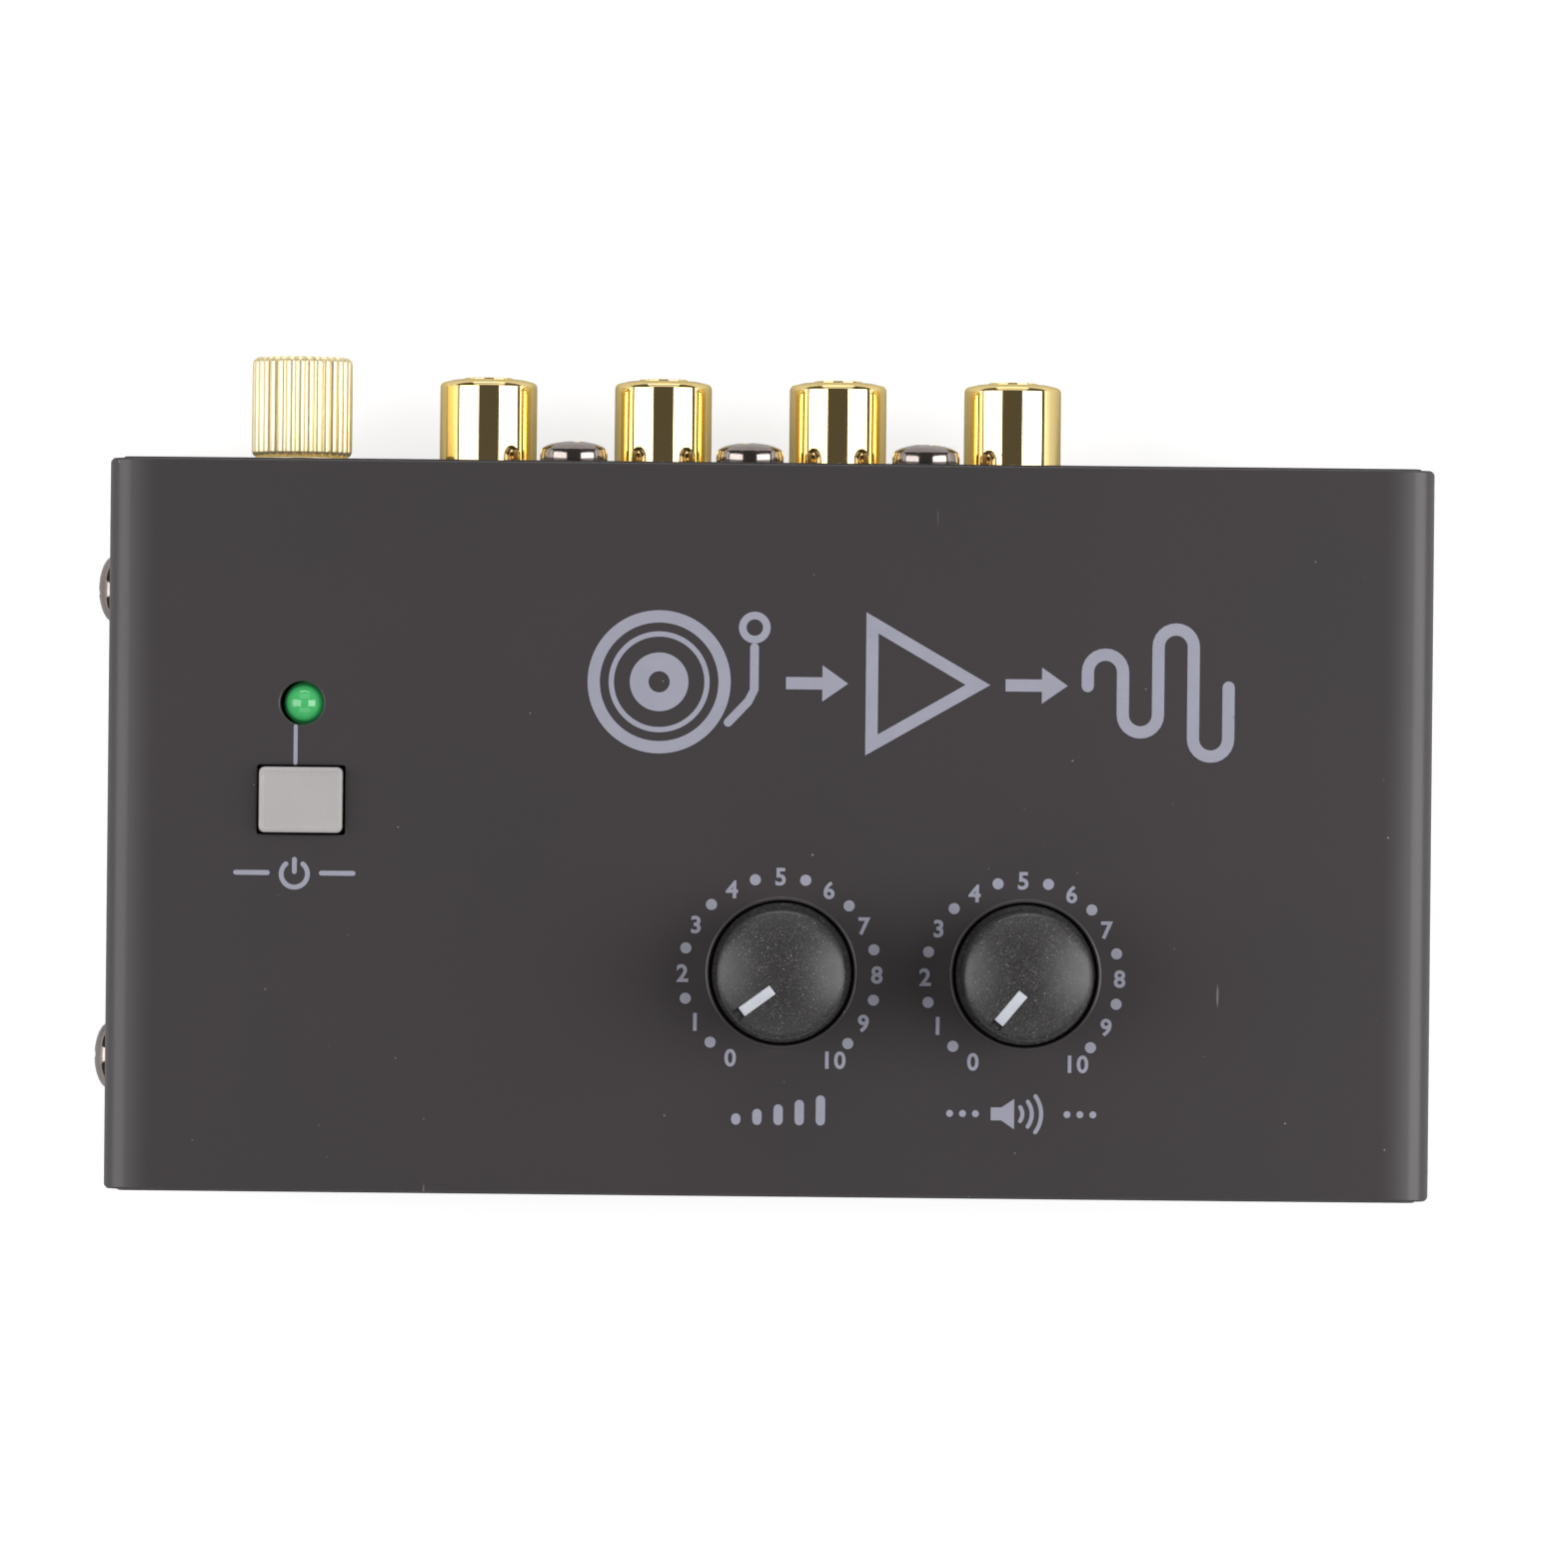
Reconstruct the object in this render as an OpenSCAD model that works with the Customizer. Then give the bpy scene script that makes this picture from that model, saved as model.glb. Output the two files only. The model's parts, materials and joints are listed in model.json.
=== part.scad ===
// Phono preamp in a small folded steel case: two dials, a push switch and an indicator
// on top, a row of phono sockets, an earth terminal, an output socket and a power inlet behind.
// Millimetres. +Z is up, the feet stand on Z = 0, and +Y points to the rear panel.

/* [Case] */
// Width of the folded cover, left to right
cover_w = 113; // [110:0.5:130]
// Depth of the folded cover, front to rear
cover_d = 62.3; // [61:0.1:75]
// Height from the underside of the base to the top of the cover
body_h = 27; // [26:0.5:34]
// Thickness of the steel sheet
sheet_t = 1; // [0.8:0.1:1.3]
// Outside radius of the cover's two bends
cover_bend_r = 1.9; // [1.6:0.1:3]
// Outside radius of the base tray's bends
base_bend_r = 1.6; // [1.4:0.1:2.2]
// Radius of the cover's four corners in plan
corner_r = 0.5; // [0.4:0.1:1.5]
// Gap between the cover's side walls and the flanges inside them
cover_gap = 0.15; // [0.1:0.05:0.3]
// Gap under the cover's top above the base's front and rear walls
lid_gap = 0.1; // [0.05:0.05:0.3]
// Height of the cover's lower edges above the underside of the base
cover_lift = 0.3; // [0.1:0.1:1]
// How far the front and rear walls stand out past the cover
wall_proud = 0.15; // [0.1:0.05:0.5]
// Height of the base's side flanges
flange_h = 14; // [13:0.5:17]
// Gap between the side flanges and the front and rear walls
flange_gap = 1.2; // [0.6:0.1:3]
// Width of the relief slots at the ends of the side bends
relief_w = 0.5; // [0.3:0.1:1]

/* [Feet] */
// Diameter of each rubber foot
foot_d = 10; // [7:0.5:12]
// Height of each rubber foot
foot_h = 3; // [2:0.5:5]
// Chamfer round the foot's lower edge
foot_chamfer = 0.6; // [0.2:0.1:1]
// Distance from the cover's side to a foot's centre
foot_inset_x = 11; // [8:0.5:16]
// Distance from the cover's front or rear edge to a foot's centre
foot_inset_y = 10; // [8:0.5:16]

/* [Cover fastening] */
// Distance of each side screw from the middle of the case
side_screw_y = 20.3; // [16:0.1:23]
// Height of the side screws above the underside of the base
side_screw_z = 8.6; // [8:0.1:9.5]
// Length of the side screws under the head
side_screw_l = 4.8; // [3.5:0.1:5]
// Radius of a side screw's head
side_head_r = 2.9; // [2.6:0.1:3.2]
// Height of a side screw's head
side_head_h = 2.2; // [1.6:0.1:2.4]
// Length of each hook lug on the right flange
lug_l = 7; // [4:0.5:10]
// Height of each hook lug
lug_h = 1.6; // [1:0.1:2.5]
// How far a lug's face lies below the cover's outer face
lug_recess = 0.15; // [0.05:0.05:0.4]
// Gap round a hook lug in its slot
lug_gap = 0.25; // [0.1:0.05:0.5]

/* [Screws] */
// Radius of every screw's shank
screw_r = 1.45; // [1.2:0.05:1.5]
// Radial gap between a shank and the thread it holds in
thread_gap = 0.05; // [0.03:0.01:0.1]
// Radial gap between a shank and a plain hole
screw_gap = 0.2; // [0.1:0.05:0.4]
// Height of the straight band at a screw head's rim
head_rim = 0.8; // [0.4:0.1:1.1]
// Width of each arm of the cross recess
cross_w = 0.8; // [0.5:0.1:1]
// Length of each arm of the cross recess
cross_l = 3.2; // [2.4:0.1:3.6]
// Depth of the cross recess
cross_depth = 1.1; // [0.6:0.1:1.2]
// Radius of a board or panel screw's head
head_r = 2.9; // [2.6:0.1:3.1]
// Height of a panel screw's head
panel_head_h = 2; // [1.6:0.1:2.4]
// Length of a panel screw under the head
panel_screw_l = 7; // [5:0.5:9]
// Height of a board screw's head
board_head_h = 1.8; // [1.6:0.1:2.2]
// Length of a board screw under the head
board_screw_l = 5; // [4:0.5:6]

/* [Circuit board] */
// Thickness of the board
board_t = 1.6; // [1.2:0.1:2]
// Height of the pillars under the board
board_lift = 5; // [4.5:0.1:5.4]
// Distance from a side flange to the board's side edge
board_side_gap = 3.5; // [3.2:0.1:4.5]
// Distance from the rear wall to the board's rear edge
board_rear_gap = 1.1; // [0.5:0.1:2]
// Distance from the front wall to the board's front edge
board_front_gap = 2.6; // [1:0.1:3]
// Distance across the flats of a pillar
pillar_af = 5.5; // [5:0.1:6]
// Distance from the board's side edge to a pillar's centre
pillar_inset_x = 4.3; // [4:0.1:5]
// Distance from the board's front edge to the front pillars' centres
pillar_front = 4; // [3.5:0.1:5]
// Distance from the board's rear edge to the left rear pillar's centre
pillar_rear_left = 5.8; // [5.8:0.1:7]
// Distance from the board's rear edge to the right rear pillar's centre
pillar_rear_right = 18.5; // [18:0.1:20]

/* [Phono sockets] */
// Number of phono sockets
rca_count = 4; // [4]
// Distance between neighbouring sockets
rca_pitch = 15.13; // [14.8:0.01:15.2]
// Gap between the socket block and the output socket's body
block_gap = 0.3; // [0.2:0.05:0.8]
// Height of the socket axes above the board
rca_lift = 5.4; // [5.2:0.1:6]
// Outer radius of a socket's shell
shell_r = 4.2; // [4.1:0.05:4.3]
// Wall thickness of a shell
shell_t = 0.6; // [0.4:0.05:0.8]
// How far the shells reach past the rear edge of the cover
shell_reach = 7.5; // [7:0.1:9]
// Rounding of the shell's outer end
shell_round = 0.5; // [0.4:0.1:0.9]
// Extra radius of the shell's root inside the block
shell_flange = 0.4; // [0.3:0.05:0.5]
// Length of the groove where a shell leaves its collar
shell_neck = 0.5; // [0.3:0.1:0.8]
// Depth of the groove where a shell leaves its collar
shell_neck_depth = 0.05; // [0.03:0.01:0.1]
// Depth of the shell's seat in the block, from the rear wall's inner face
shell_seat = 6; // [5:0.5:8]
// Wall of the collar round a shell's root
collar_t = 0.55; // [0.4:0.05:0.6]
// How far the collars stay below the rear wall's outer face
collar_recess = 0.2; // [0.1:0.05:0.4]
// Gap between a collar and its hole in the rear wall
collar_gap = 0.2; // [0.1:0.05:0.3]
// Bore radius of a centre contact
contact_bore_r = 1.65; // [1.62:0.01:1.75]
// Wall thickness of a centre contact
contact_t = 0.45; // [0.3:0.05:0.6]
// Depth of the bore in a centre contact
contact_depth = 11; // [10:0.1:11.5]
// Radius of the opening in a shell's turned-in end
lip_r = 2.9; // [2.6:0.05:3.1]
// Thickness of the turned-in end
lip_t = 0.4; // [0.3:0.05:0.5]
// How far the turned-in end rises towards its opening
lip_rise = 0.2; // [0.1:0.05:0.3]
// How far the insulator stands out of the shell's opening
insulator_proud = 0.1; // [0.05:0.05:0.3]
// How far a contact stands out of its insulator
contact_proud = 0.05; // [0.05:0.05:0.3]
// Radius of a contact's tail
tail_r = 0.55; // [0.4:0.05:0.6]
// Gap between an insulator and the back of its seat
insulator_gap = 0.4; // [0.2:0.1:1]
// Depth of the socket block, front to rear
block_d = 12; // [11:0.5:14]
// Height of the socket block
block_h = 15.4; // [14.6:0.1:15.8]
// Distance from the outer sockets' axes to the block's ends
block_margin = 6.4; // [6:0.1:6.4]
// Height of the panel screws above the socket axes
panel_screw_lift = 7; // [6.4:0.1:7.2]
// Depth of a screw's pilot hole beyond the screw's end
pilot_gap = 0.5; // [0.3:0.1:1]

/* [Earth terminal] */
// Offset of the earth terminal to the right of the middle between left flange and socket block
earth_shift = 1.88; // [0:0.01:1.9]
// Height of the earth terminal above the board
earth_lift = 5.4; // [5:0.1:7]
// Radius of the earth bolt's thread
earth_bolt_r = 2; // [1.8:0.1:2.1]
// Distance across the flats of the bolt's head
earth_head_af = 7; // [6.5:0.1:7.5]
// Thickness of the bolt's head
earth_head_t = 2.6; // [2:0.1:3]
// Thickness of the lug under the bolt's head
earth_lug_t = 0.8; // [0.6:0.1:1]
// Width of the lug
earth_lug_w = 7; // [6:0.5:8]
// Width of the lug's foot on the board
earth_foot_w = 4; // [3:0.5:5]
// Length of the lug's foot on the board
earth_foot_l = 3; // [2:0.5:4]
// Thickness of the washer carried by the nut
washer_t = 0.4; // [0.3:0.05:0.6]
// Outer radius of the washer
washer_r = 4.2; // [3.8:0.1:4.3]
// Outer radius of the knurled nut
nut_r = 4.35; // [4.3:0.05:4.6]
// Length of the knurled nut
nut_l = 8.65; // [8:0.05:10]
// Chamfer at both ends of the nut
nut_chamfer = 0.35; // [0.2:0.05:0.5]
// Number of ridges round the nut
nut_ridges = 32; // [24:1:40]
// Depth of the grooves between the ridges
nut_groove = 0.28; // [0.15:0.01:0.4]
// How far the bolt's end lies inside the nut
bolt_recess = 0.8; // [0.4:0.1:1.2]
// Gap between the nut and the washer, and between the washer and the wall
washer_gap = 0.02; // [0.01:0.01:0.05]

/* [Output socket] */
// Gap between the bodies of the output socket and the power inlet
jack_gap = 0.9; // [0.7:0.05:1.1]
// Height of the output socket's axis above the board
jack_lift = 7.2; // [6.8:0.1:8]
// Bore radius of the output socket
jack_bore_r = 3.25; // [3.22:0.01:3.4]
// Depth of the output socket's bore
jack_bore_l = 31; // [28:0.5:31.5]
// Width of the output socket's body
jack_w = 13.2; // [12:0.1:13.4]
// Height of the output socket's body
jack_h = 14.4; // [13.5:0.1:15]
// Thickness of the body behind the bore
jack_back = 1.5; // [1:0.1:2]
// Radius of the collar in the rear wall
jack_collar_r = 5.6; // [5:0.1:6]
// Width of each contact strap
strap_w = 2.4; // [2:0.1:3]
// Thickness of each contact strap
strap_t = 0.4; // [0.3:0.05:0.5]
// Distance between contact straps
strap_pitch = 9; // [7:0.5:9.5]

/* [Power inlet] */
// Distance from the cover's right side to the power inlet's axis
inlet_inset = 10.5; // [9.5:0.1:10.8]
// Height of the power inlet's axis above the board
inlet_lift = 5.9; // [5.5:0.1:6.5]
// Width of the power inlet's body
inlet_w = 9; // [8.8:0.1:9.4]
// Height of the power inlet's body
inlet_h = 11; // [10.6:0.1:12]
// Depth of the power inlet's body
inlet_d = 13.5; // [12:0.5:14]
// Bore radius of the power inlet
inlet_bore_r = 3.1; // [2.9:0.05:3.3]
// Depth of the power inlet's bore
inlet_bore_l = 9.5; // [8:0.5:10]
// Radius of the inlet's centre pin
inlet_pin_r = 1; // [0.9:0.05:1.25]
// Extra radius of the pin's root inside the body
inlet_root = 0.2; // [0.1:0.05:0.4]
// How far the centre pin stays inside the mouth
inlet_pin_recess = 0.6; // [0.3:0.1:1.5]
// Length of the taper at the centre pin's end
inlet_pin_taper = 0.5; // [0.3:0.1:0.8]
// Radius of the collar in the rear wall
inlet_collar_r = 4; // [3.7:0.1:4.2]

/* [Dials] */
// Place of the level dial, left to right
level_x = 1.16; // [0:0.01:2]
// Place of the volume dial, left to right
volume_x = 21.94; // [20:0.01:22.2]
// Place of both dials, measured forward from the middle of the case
dial_front = 12.17; // [12:0.01:14]
// Diameter of each knob
knob_d = 11; // [10:0.1:13]
// Gap between a knob and its hole in the cover
knob_gap = 0.675; // [0.4:0.025:1]
// Height of the knobs above the cover
knob_rise = 10; // [7:0.5:13]
// Distance from the top of the bushing to the underside of the knob
knob_foot_gap = 0.6; // [0.3:0.1:1]
// Width of the bevel round a knob's top
knob_bevel = 0.9; // [0.5:0.1:1.2]
// Height of the bevel round a knob's top
knob_bevel_h = 1.2; // [0.8:0.1:1.5]
// Depth of the hollow in a knob's top
dish_depth = 0.55; // [0.2:0.05:0.8]
// Width of the rim round the hollow
dish_rim = 0.2; // [0.1:0.05:0.4]
// Thickness of the knob above the shaft
knob_roof = 3; // [2.2:0.1:4]
// Radius of a dial's shaft
shaft_r = 3; // [2.5:0.1:3.2]
// Depth of the flat on the shaft
shaft_flat = 1.2; // [0.8:0.1:1.5]
// Running gap between a shaft and its bushing
shaft_gap = 0.05; // [0.03:0.01:0.08]
// Wall of the bushing round the shaft
bushing_t = 0.9; // [0.6:0.1:1.2]
// Length of the bushing above the potentiometer's case
bushing_l = 6; // [4:0.5:7]
// Width and depth of a potentiometer's case
pot_w = 16; // [14:0.5:16.5]
// Height of a potentiometer's case
pot_h = 7.5; // [6.5:0.1:8]
// Thickness of the floor under the shaft
pot_floor = 1.4; // [1:0.1:2]
// Width of the pointer and its slot
pointer_w = 0.95; // [0.6:0.01:1.2]
// Distance from the knob's axis to the pointer's inner end
pointer_in = 1.3; // [1:0.1:2]
// Distance from the knob's axis to the pointer's outer end
pointer_out = 4.5; // [4:0.1:4.8]
// Sideways offset of the pointer from the knob's axis
pointer_side = 0.55; // [0:0.05:0.7]
// Depth of the pointer's slot below the knob's rim
pointer_depth = 1.3; // [1:0.1:1.6]
// Where the level pointer rests, in degrees clockwise from the rear
level_rest = -126.6; // [-150:0.1:150]
// Where the volume pointer rests, in degrees clockwise from the rear
volume_rest = -140.7; // [-150:0.1:150]

/* [Power button] */
// Distance from the cover's left side to the power button and indicator
button_inset = 16.6; // [16:0.1:18]
// Place of the power button, measured rearward from the middle of the case
button_y = 2.15; // [1:0.05:2.5]
// Width of the button
button_w = 7.1; // [6.5:0.1:8]
// Depth of the button, front to rear
button_d = 5.6; // [5.6:0.1:6]
// Gap round the button in the cover, left and right
button_gap_x = 0.2; // [0.1:0.05:0.4]
// Gap round the button in the cover, front and rear
button_gap_y = 0.15; // [0.1:0.05:0.4]
// How far the released button stands above the cover
button_rise = 1; // [0.5:0.1:3]
// How far the button goes in
button_travel = 2.5; // [1.5:0.1:2.5]
// Bevel round the button's top
button_bevel = 0.35; // [0.2:0.05:0.6]
// Height of the button
button_h = 6; // [5:0.1:6]
// Width of the square plunger
plunger_w = 2.9; // [2.6:0.1:3]
// Length of the plunger inside the button
plunger_in = 2.4; // [2:0.1:3]
// Length of the plunger inside the switch while it is released
plunger_seat = 2; // [1.5:0.1:2.5]
// Gap round the plunger in the switch
plunger_gap = 0.15; // [0.1:0.05:0.3]
// Width and depth of the switch's case
switch_w = 8.4; // [8:0.1:8.6]
// Height of the switch's case
switch_h = 9; // [8.5:0.1:9.2]
// Depth of the switch's well below its top
switch_well = 5.2; // [5.1:0.1:6]
// Radius of the spring's coils at the wire's middle
spring_r = 2.45; // [2.4:0.01:2.5]
// Radius of the spring's wire
spring_wire_r = 0.17; // [0.15:0.01:0.2]
// Number of turns in the spring
spring_turns = 5; // [4:1:6]
// Gap at each end of the spring
spring_gap = 0.03; // [0.02:0.01:0.1]

/* [Indicator] */
// Place of the indicator, measured rearward from the middle of the case
lamp_y = 10.4; // [10:0.1:12]
// Sideways offset of the lamp in its hole
lamp_side = 0.15; // [0:0.01:0.2]
// Radius of the indicator's lens
lamp_r = 1.5; // [1.4:0.05:1.6]
// Gap round the lens in the cover
lamp_gap = 0.35; // [0.3:0.05:0.5]
// How far the lens stands above the cover
lamp_rise = 0.3; // [-0.3:0.1:1]
// Height of the lens, with its flange
lamp_h = 5.4; // [4:0.1:5.5]
// Extra radius of the lens's flange
lamp_flange = 0.35; // [0.2:0.05:0.4]
// Thickness of the lens's flange
lamp_flange_t = 1; // [0.8:0.1:1.2]
// Width of each lead
lead_w = 0.5; // [0.4:0.05:0.6]
// Distance between the leads
lead_pitch = 1.27; // [1.2:0.01:1.6]

/* [Board parts] */
// Place of the leftmost small capacitor
cap_x = -36; // [-37:0.5:-34]
// Distance from the board's front edge to the small capacitors
cap_inset = 6; // [5:0.1:6.5]
// Radius of a small capacitor's can
cap_r = 3.15; // [2.5:0.05:3.3]
// Height of a small capacitor's can
cap_h = 11; // [8:0.5:12]
// Distance between small capacitors
cap_pitch = 7.5; // [7:0.1:7.8]
// Place of the large capacitors, left to right
big_cap_x = 38.5; // [37.5:0.1:39]
// Gap between the output socket and the nearer large capacitor
big_cap_gap = 1.2; // [1:0.1:1.6]
// Radius of a large capacitor's can
big_cap_r = 4.5; // [4:0.1:4.6]
// Height of a large capacitor's can
big_cap_h = 13; // [10:0.5:13]
// Distance between the large capacitors
big_cap_pitch = 9.8; // [9.4:0.1:10.4]
// Depth of the groove round a capacitor's can
cap_groove = 0.3; // [0.2:0.05:0.4]
// Height of the groove above the can's foot
cap_groove_z = 1.4; // [1:0.1:2]
// Place of the leftmost film capacitor
film_x = -32; // [-33:0.5:-31]
// Gap between the resistors and the film capacitors
film_gap = 0.6; // [0.4:0.1:1]
// Length of a film capacitor
film_l = 7.2; // [6:0.1:8]
// Thickness of a film capacitor
film_t = 2.5; // [2:0.1:3]
// Height of a film capacitor
film_h = 6.5; // [5:0.1:8]
// Distance between film capacitors
film_pitch = 5.5; // [4.5:0.1:6]
// Place of the left amplifier chip
chip_x = -20; // [-22:0.5:-18]
// Gap between the socket block and the amplifier chips
chip_gap = 6; // [5:0.1:6.4]
// Length of an amplifier chip
chip_l = 9.6; // [9:0.1:10]
// Width of an amplifier chip
chip_w = 6.3; // [6:0.1:6.6]
// Thickness of an amplifier chip
chip_t = 3.3; // [2.5:0.1:3.5]
// Distance between the amplifier chips
chip_pitch = 16; // [14:0.5:17]
// Height of a chip's body above the board
chip_lift = 0.5; // [0.3:0.1:0.8]
// Distance between a chip's pins
pin_pitch = 2.54; // [2.5:0.01:2.6]
// Width of a chip's pin
pin_w = 0.5; // [0.4:0.05:0.6]
// How far a pin's middle lies outside the chip's body
pin_out = 0.2; // [0.1:0.05:0.24]
// Place of the leftmost resistor
res_x = -28; // [-28.5:0.1:-27.5]
// Gap between the amplifier chips and the resistors
res_gap = 0.6; // [0.4:0.1:1]
// Height of a resistor's body above the board
res_lift = 0.1; // [0.05:0.05:0.3]
// Radius of a resistor's body
res_r = 1.1; // [0.8:0.05:1.2]
// Length of a resistor's body
res_l = 6; // [5:0.1:6.3]
// Distance between resistors
res_pitch = 3.8; // [3:0.1:3.9]
// Length of a resistor's lead out of each end
res_lead = 1.1; // [0.8:0.1:1.2]
// Radius of a resistor's lead
res_lead_r = 0.3; // [0.2:0.05:0.35]
// Gap between the heat sink and the output socket's body
sink_side_gap = 4; // [3:0.5:5]
// Gap between the socket block and the heat sink
sink_gap = 5; // [3:0.5:6]
// Width of the heat sink
sink_w = 14; // [12.5:0.5:15]
// Height of the heat sink
sink_h = 13; // [10:0.5:15]
// Depth of the heat sink's side fins
sink_d = 6; // [4:0.5:7]
// Thickness of the heat sink's metal
sink_t = 1.2; // [1:0.1:1.5]
// Width of the regulator's case
reg_w = 10; // [9:0.1:10]
// Thickness of the regulator's case
reg_t = 3.2; // [3:0.1:3.6]
// Height of the regulator's case
reg_h = 9; // [8:0.1:9]
// Height of the regulator's case above the board
reg_lift = 3; // [2:0.1:4]
// Width of a regulator's leg
reg_leg_w = 0.8; // [0.6:0.1:1]
// Thickness of a regulator's leg
reg_leg_t = 0.5; // [0.4:0.05:0.6]

/* [Hidden] */
$fn = 64;

// Gap between pieces that are seated in each other
seat_gap = 0.02;
// Overrun of every cutting shape
cut = 1;

// Heights
plate_top = foot_h + sheet_t;
board_z = plate_top + board_lift;
board_top = board_z + board_t;
cover_top = foot_h + body_h;
cover_under = cover_top - sheet_t;
wall_top = cover_under - lid_gap;

// Walls in plan
rear_out = cover_d / 2 + wall_proud;
rear_in = rear_out - sheet_t;
base_w = cover_w - 2 * (sheet_t + cover_gap);
flange_in = base_w / 2 - sheet_t;
flange_l = 2 * (rear_in - flange_gap);
board_w = 2 * (flange_in - board_side_gap);
board_rear = rear_in - board_rear_gap;
board_front = board_front_gap - rear_in;
board_d = board_rear - board_front;
pillar_x = board_w / 2 - pillar_inset_x;
pillars_at = [
    [-pillar_x, board_front + pillar_front],
    [pillar_x, board_front + pillar_front],
    [-pillar_x, board_rear - pillar_rear_left],
    [pillar_x, board_rear - pillar_rear_right]];
foot_x = cover_w / 2 - foot_inset_x;
foot_y = cover_d / 2 - foot_inset_y;
side_z = foot_h + side_screw_z;

// Sockets
rca_z = board_top + rca_lift;
inlet_x = cover_w / 2 - inlet_inset;
jack_x = inlet_x - inlet_w / 2 - jack_gap - jack_w / 2;
block_w = (rca_count - 1) * rca_pitch + 2 * block_margin;
block_right = jack_x - jack_w / 2 - block_gap;
block_left = block_right - block_w;
function rca_at(i) = block_left + block_margin + i * rca_pitch;
shell_tip = cover_d / 2 + shell_reach;
shell_back = rear_in - shell_seat;
shell_front = rear_out - collar_recess;
root_r = shell_r + shell_flange;
shell_bore_r = shell_r - shell_t;
contact_r = contact_bore_r + contact_t;
collar_r = root_r + seat_gap + collar_t;
lip_floor = shell_tip - lip_rise - lip_t;
insulator_tip = shell_tip + insulator_proud;
contact_tip = insulator_tip + contact_proud;
insulator_back = shell_back + insulator_gap;
contact_back = contact_tip - contact_depth - contact_t;
block_rear = rear_in - lid_gap;
block_front = block_rear - block_d;
panel_screw_z = rca_z + panel_screw_lift;

// Earth terminal
earth_x = (block_left - flange_in) / 2 + earth_shift;
earth_z = board_top + earth_lift;
nut_start = rear_out + washer_t + 2 * washer_gap;
nut_tip = nut_start + nut_l;
bolt_tip = nut_tip - bolt_recess;

// Output socket and power inlet
jack_z = board_top + jack_lift;
jack_front = rear_out - jack_bore_l - jack_back;
inlet_z = board_top + inlet_lift;
inlet_front = block_rear - inlet_d;
inlet_floor = rear_out - collar_recess - inlet_bore_l;

// Dials
pot_top = board_top + pot_h;
bushing_top = pot_top + bushing_l;
knob_bottom = bushing_top + knob_foot_gap;
knob_top = cover_top + knob_rise;
shaft_top = knob_top - knob_roof;
shaft_bottom = board_top + pot_floor;
knob_r = knob_d / 2;

// Switch and lamp
button_x = button_inset - cover_w / 2;
switch_top = board_top + switch_h;
button_top = cover_top + button_rise;
button_bottom = button_top - button_h;
lamp_top = cover_top + lamp_rise;
lamp_bottom = lamp_top - lamp_h;

// Rows of board parts, each placed from the one behind it
chip_y = block_front - chip_gap - chip_w / 2;
res_y = chip_y - chip_w / 2 - pin_out - pin_w / 2 - res_gap - res_l / 2 - res_lead;
film_y = res_y - res_l / 2 - res_lead - film_gap - film_l / 2;
sink_x = jack_x - jack_w / 2 - sink_side_gap - sink_w / 2;

// The middle of the whole outline, as the feet stand
mid_x = -side_head_h / 2;
mid_y = (max(nut_tip, shell_tip) - rear_out) / 2;

// Colours
paint = [0.29, 0.275, 0.278];
gold = [0.83, 0.64, 0.25];
nickel = [0.72, 0.7, 0.68];
plastic = [0.07, 0.07, 0.075];

// ---------- helpers ----------

// Moves the case's own middle to the middle of the whole outline
module placed() {
    translate([-mid_x, -mid_y, 0])
        children();
}

// Turns +Z to +Y, the way the sockets face
module rearward() {
    rotate([-90, 0, 0])
        children();
}

// Extrudes a front view along the depth, about the middle
module along_depth(l) {
    rotate([90, 0, 0])
        linear_extrude(height = l, center = true)
            children();
}

// Extrudes a side view along the width, about the middle
module along_width(l) {
    rotate([90, 0, 90])
        linear_extrude(height = l, center = true)
            children();
}

// A rectangle on the X axis with its two upper corners rounded
module arch(w, h, r) {
    translate([-w / 2, 0])
        square([w, h - r]);
    translate([r - w / 2, 0])
        square([w - 2 * r, h]);
    for (s = [-1, 1])
        translate([s * (w / 2 - r), h - r])
            circle(r);
}

// A rectangle with all four corners rounded, about the middle
module round_plan(w, d, r) {
    square([w - 2 * r, d], center = true);
    square([w, d - 2 * r], center = true);
    for (sx = [-1, 1], sy = [-1, 1])
        translate([sx * (w / 2 - r), sy * (d / 2 - r)])
            circle(r);
}

// A sheet folded into a channel that opens downwards
module folded_down(w, h, t, r) {
    difference() {
        arch(w, h, r);
        translate([0, -cut])
            arch(w - 2 * t, h - t + cut, r - t);
    }
}

// A sheet folded into a channel that opens upwards
module folded_up(w, h, t, r) {
    translate([0, h])
        mirror([0, 1])
            folded_down(w, h, t, r);
}

// A block on Z = 0, centred in X and Y
module slab(w, d, h) {
    translate([-w / 2, -d / 2, 0])
        cube([w, d, h]);
}

// A tube on Z = 0
module tube(r_out, r_in, h) {
    difference() {
        cylinder(r = r_out, h = h);
        translate([0, 0, -cut])
            cylinder(r = r_in, h = h + 2 * cut);
    }
}

// A domed screw: the head stands on Z = 0 and the shank goes down
module screw(r, h, l) {
    dome_h = h - head_rim;
    dome_r = (r * r + dome_h * dome_h) / (2 * dome_h);
    difference() {
        rotate_extrude()
            intersection() {
                square([r, h]);
                translate([0, h - dome_r])
                    circle(dome_r, $fn = 128);
            }
        for (a = [0, 90])
            rotate([0, 0, a])
                translate([0, 0, h - cross_depth])
                    slab(cross_l, cross_w, cross_depth + cut);
    }
    translate([0, 0, -l])
        cylinder(r = screw_r, h = l + head_rim / 2);
}

// ---------- case ----------

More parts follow.
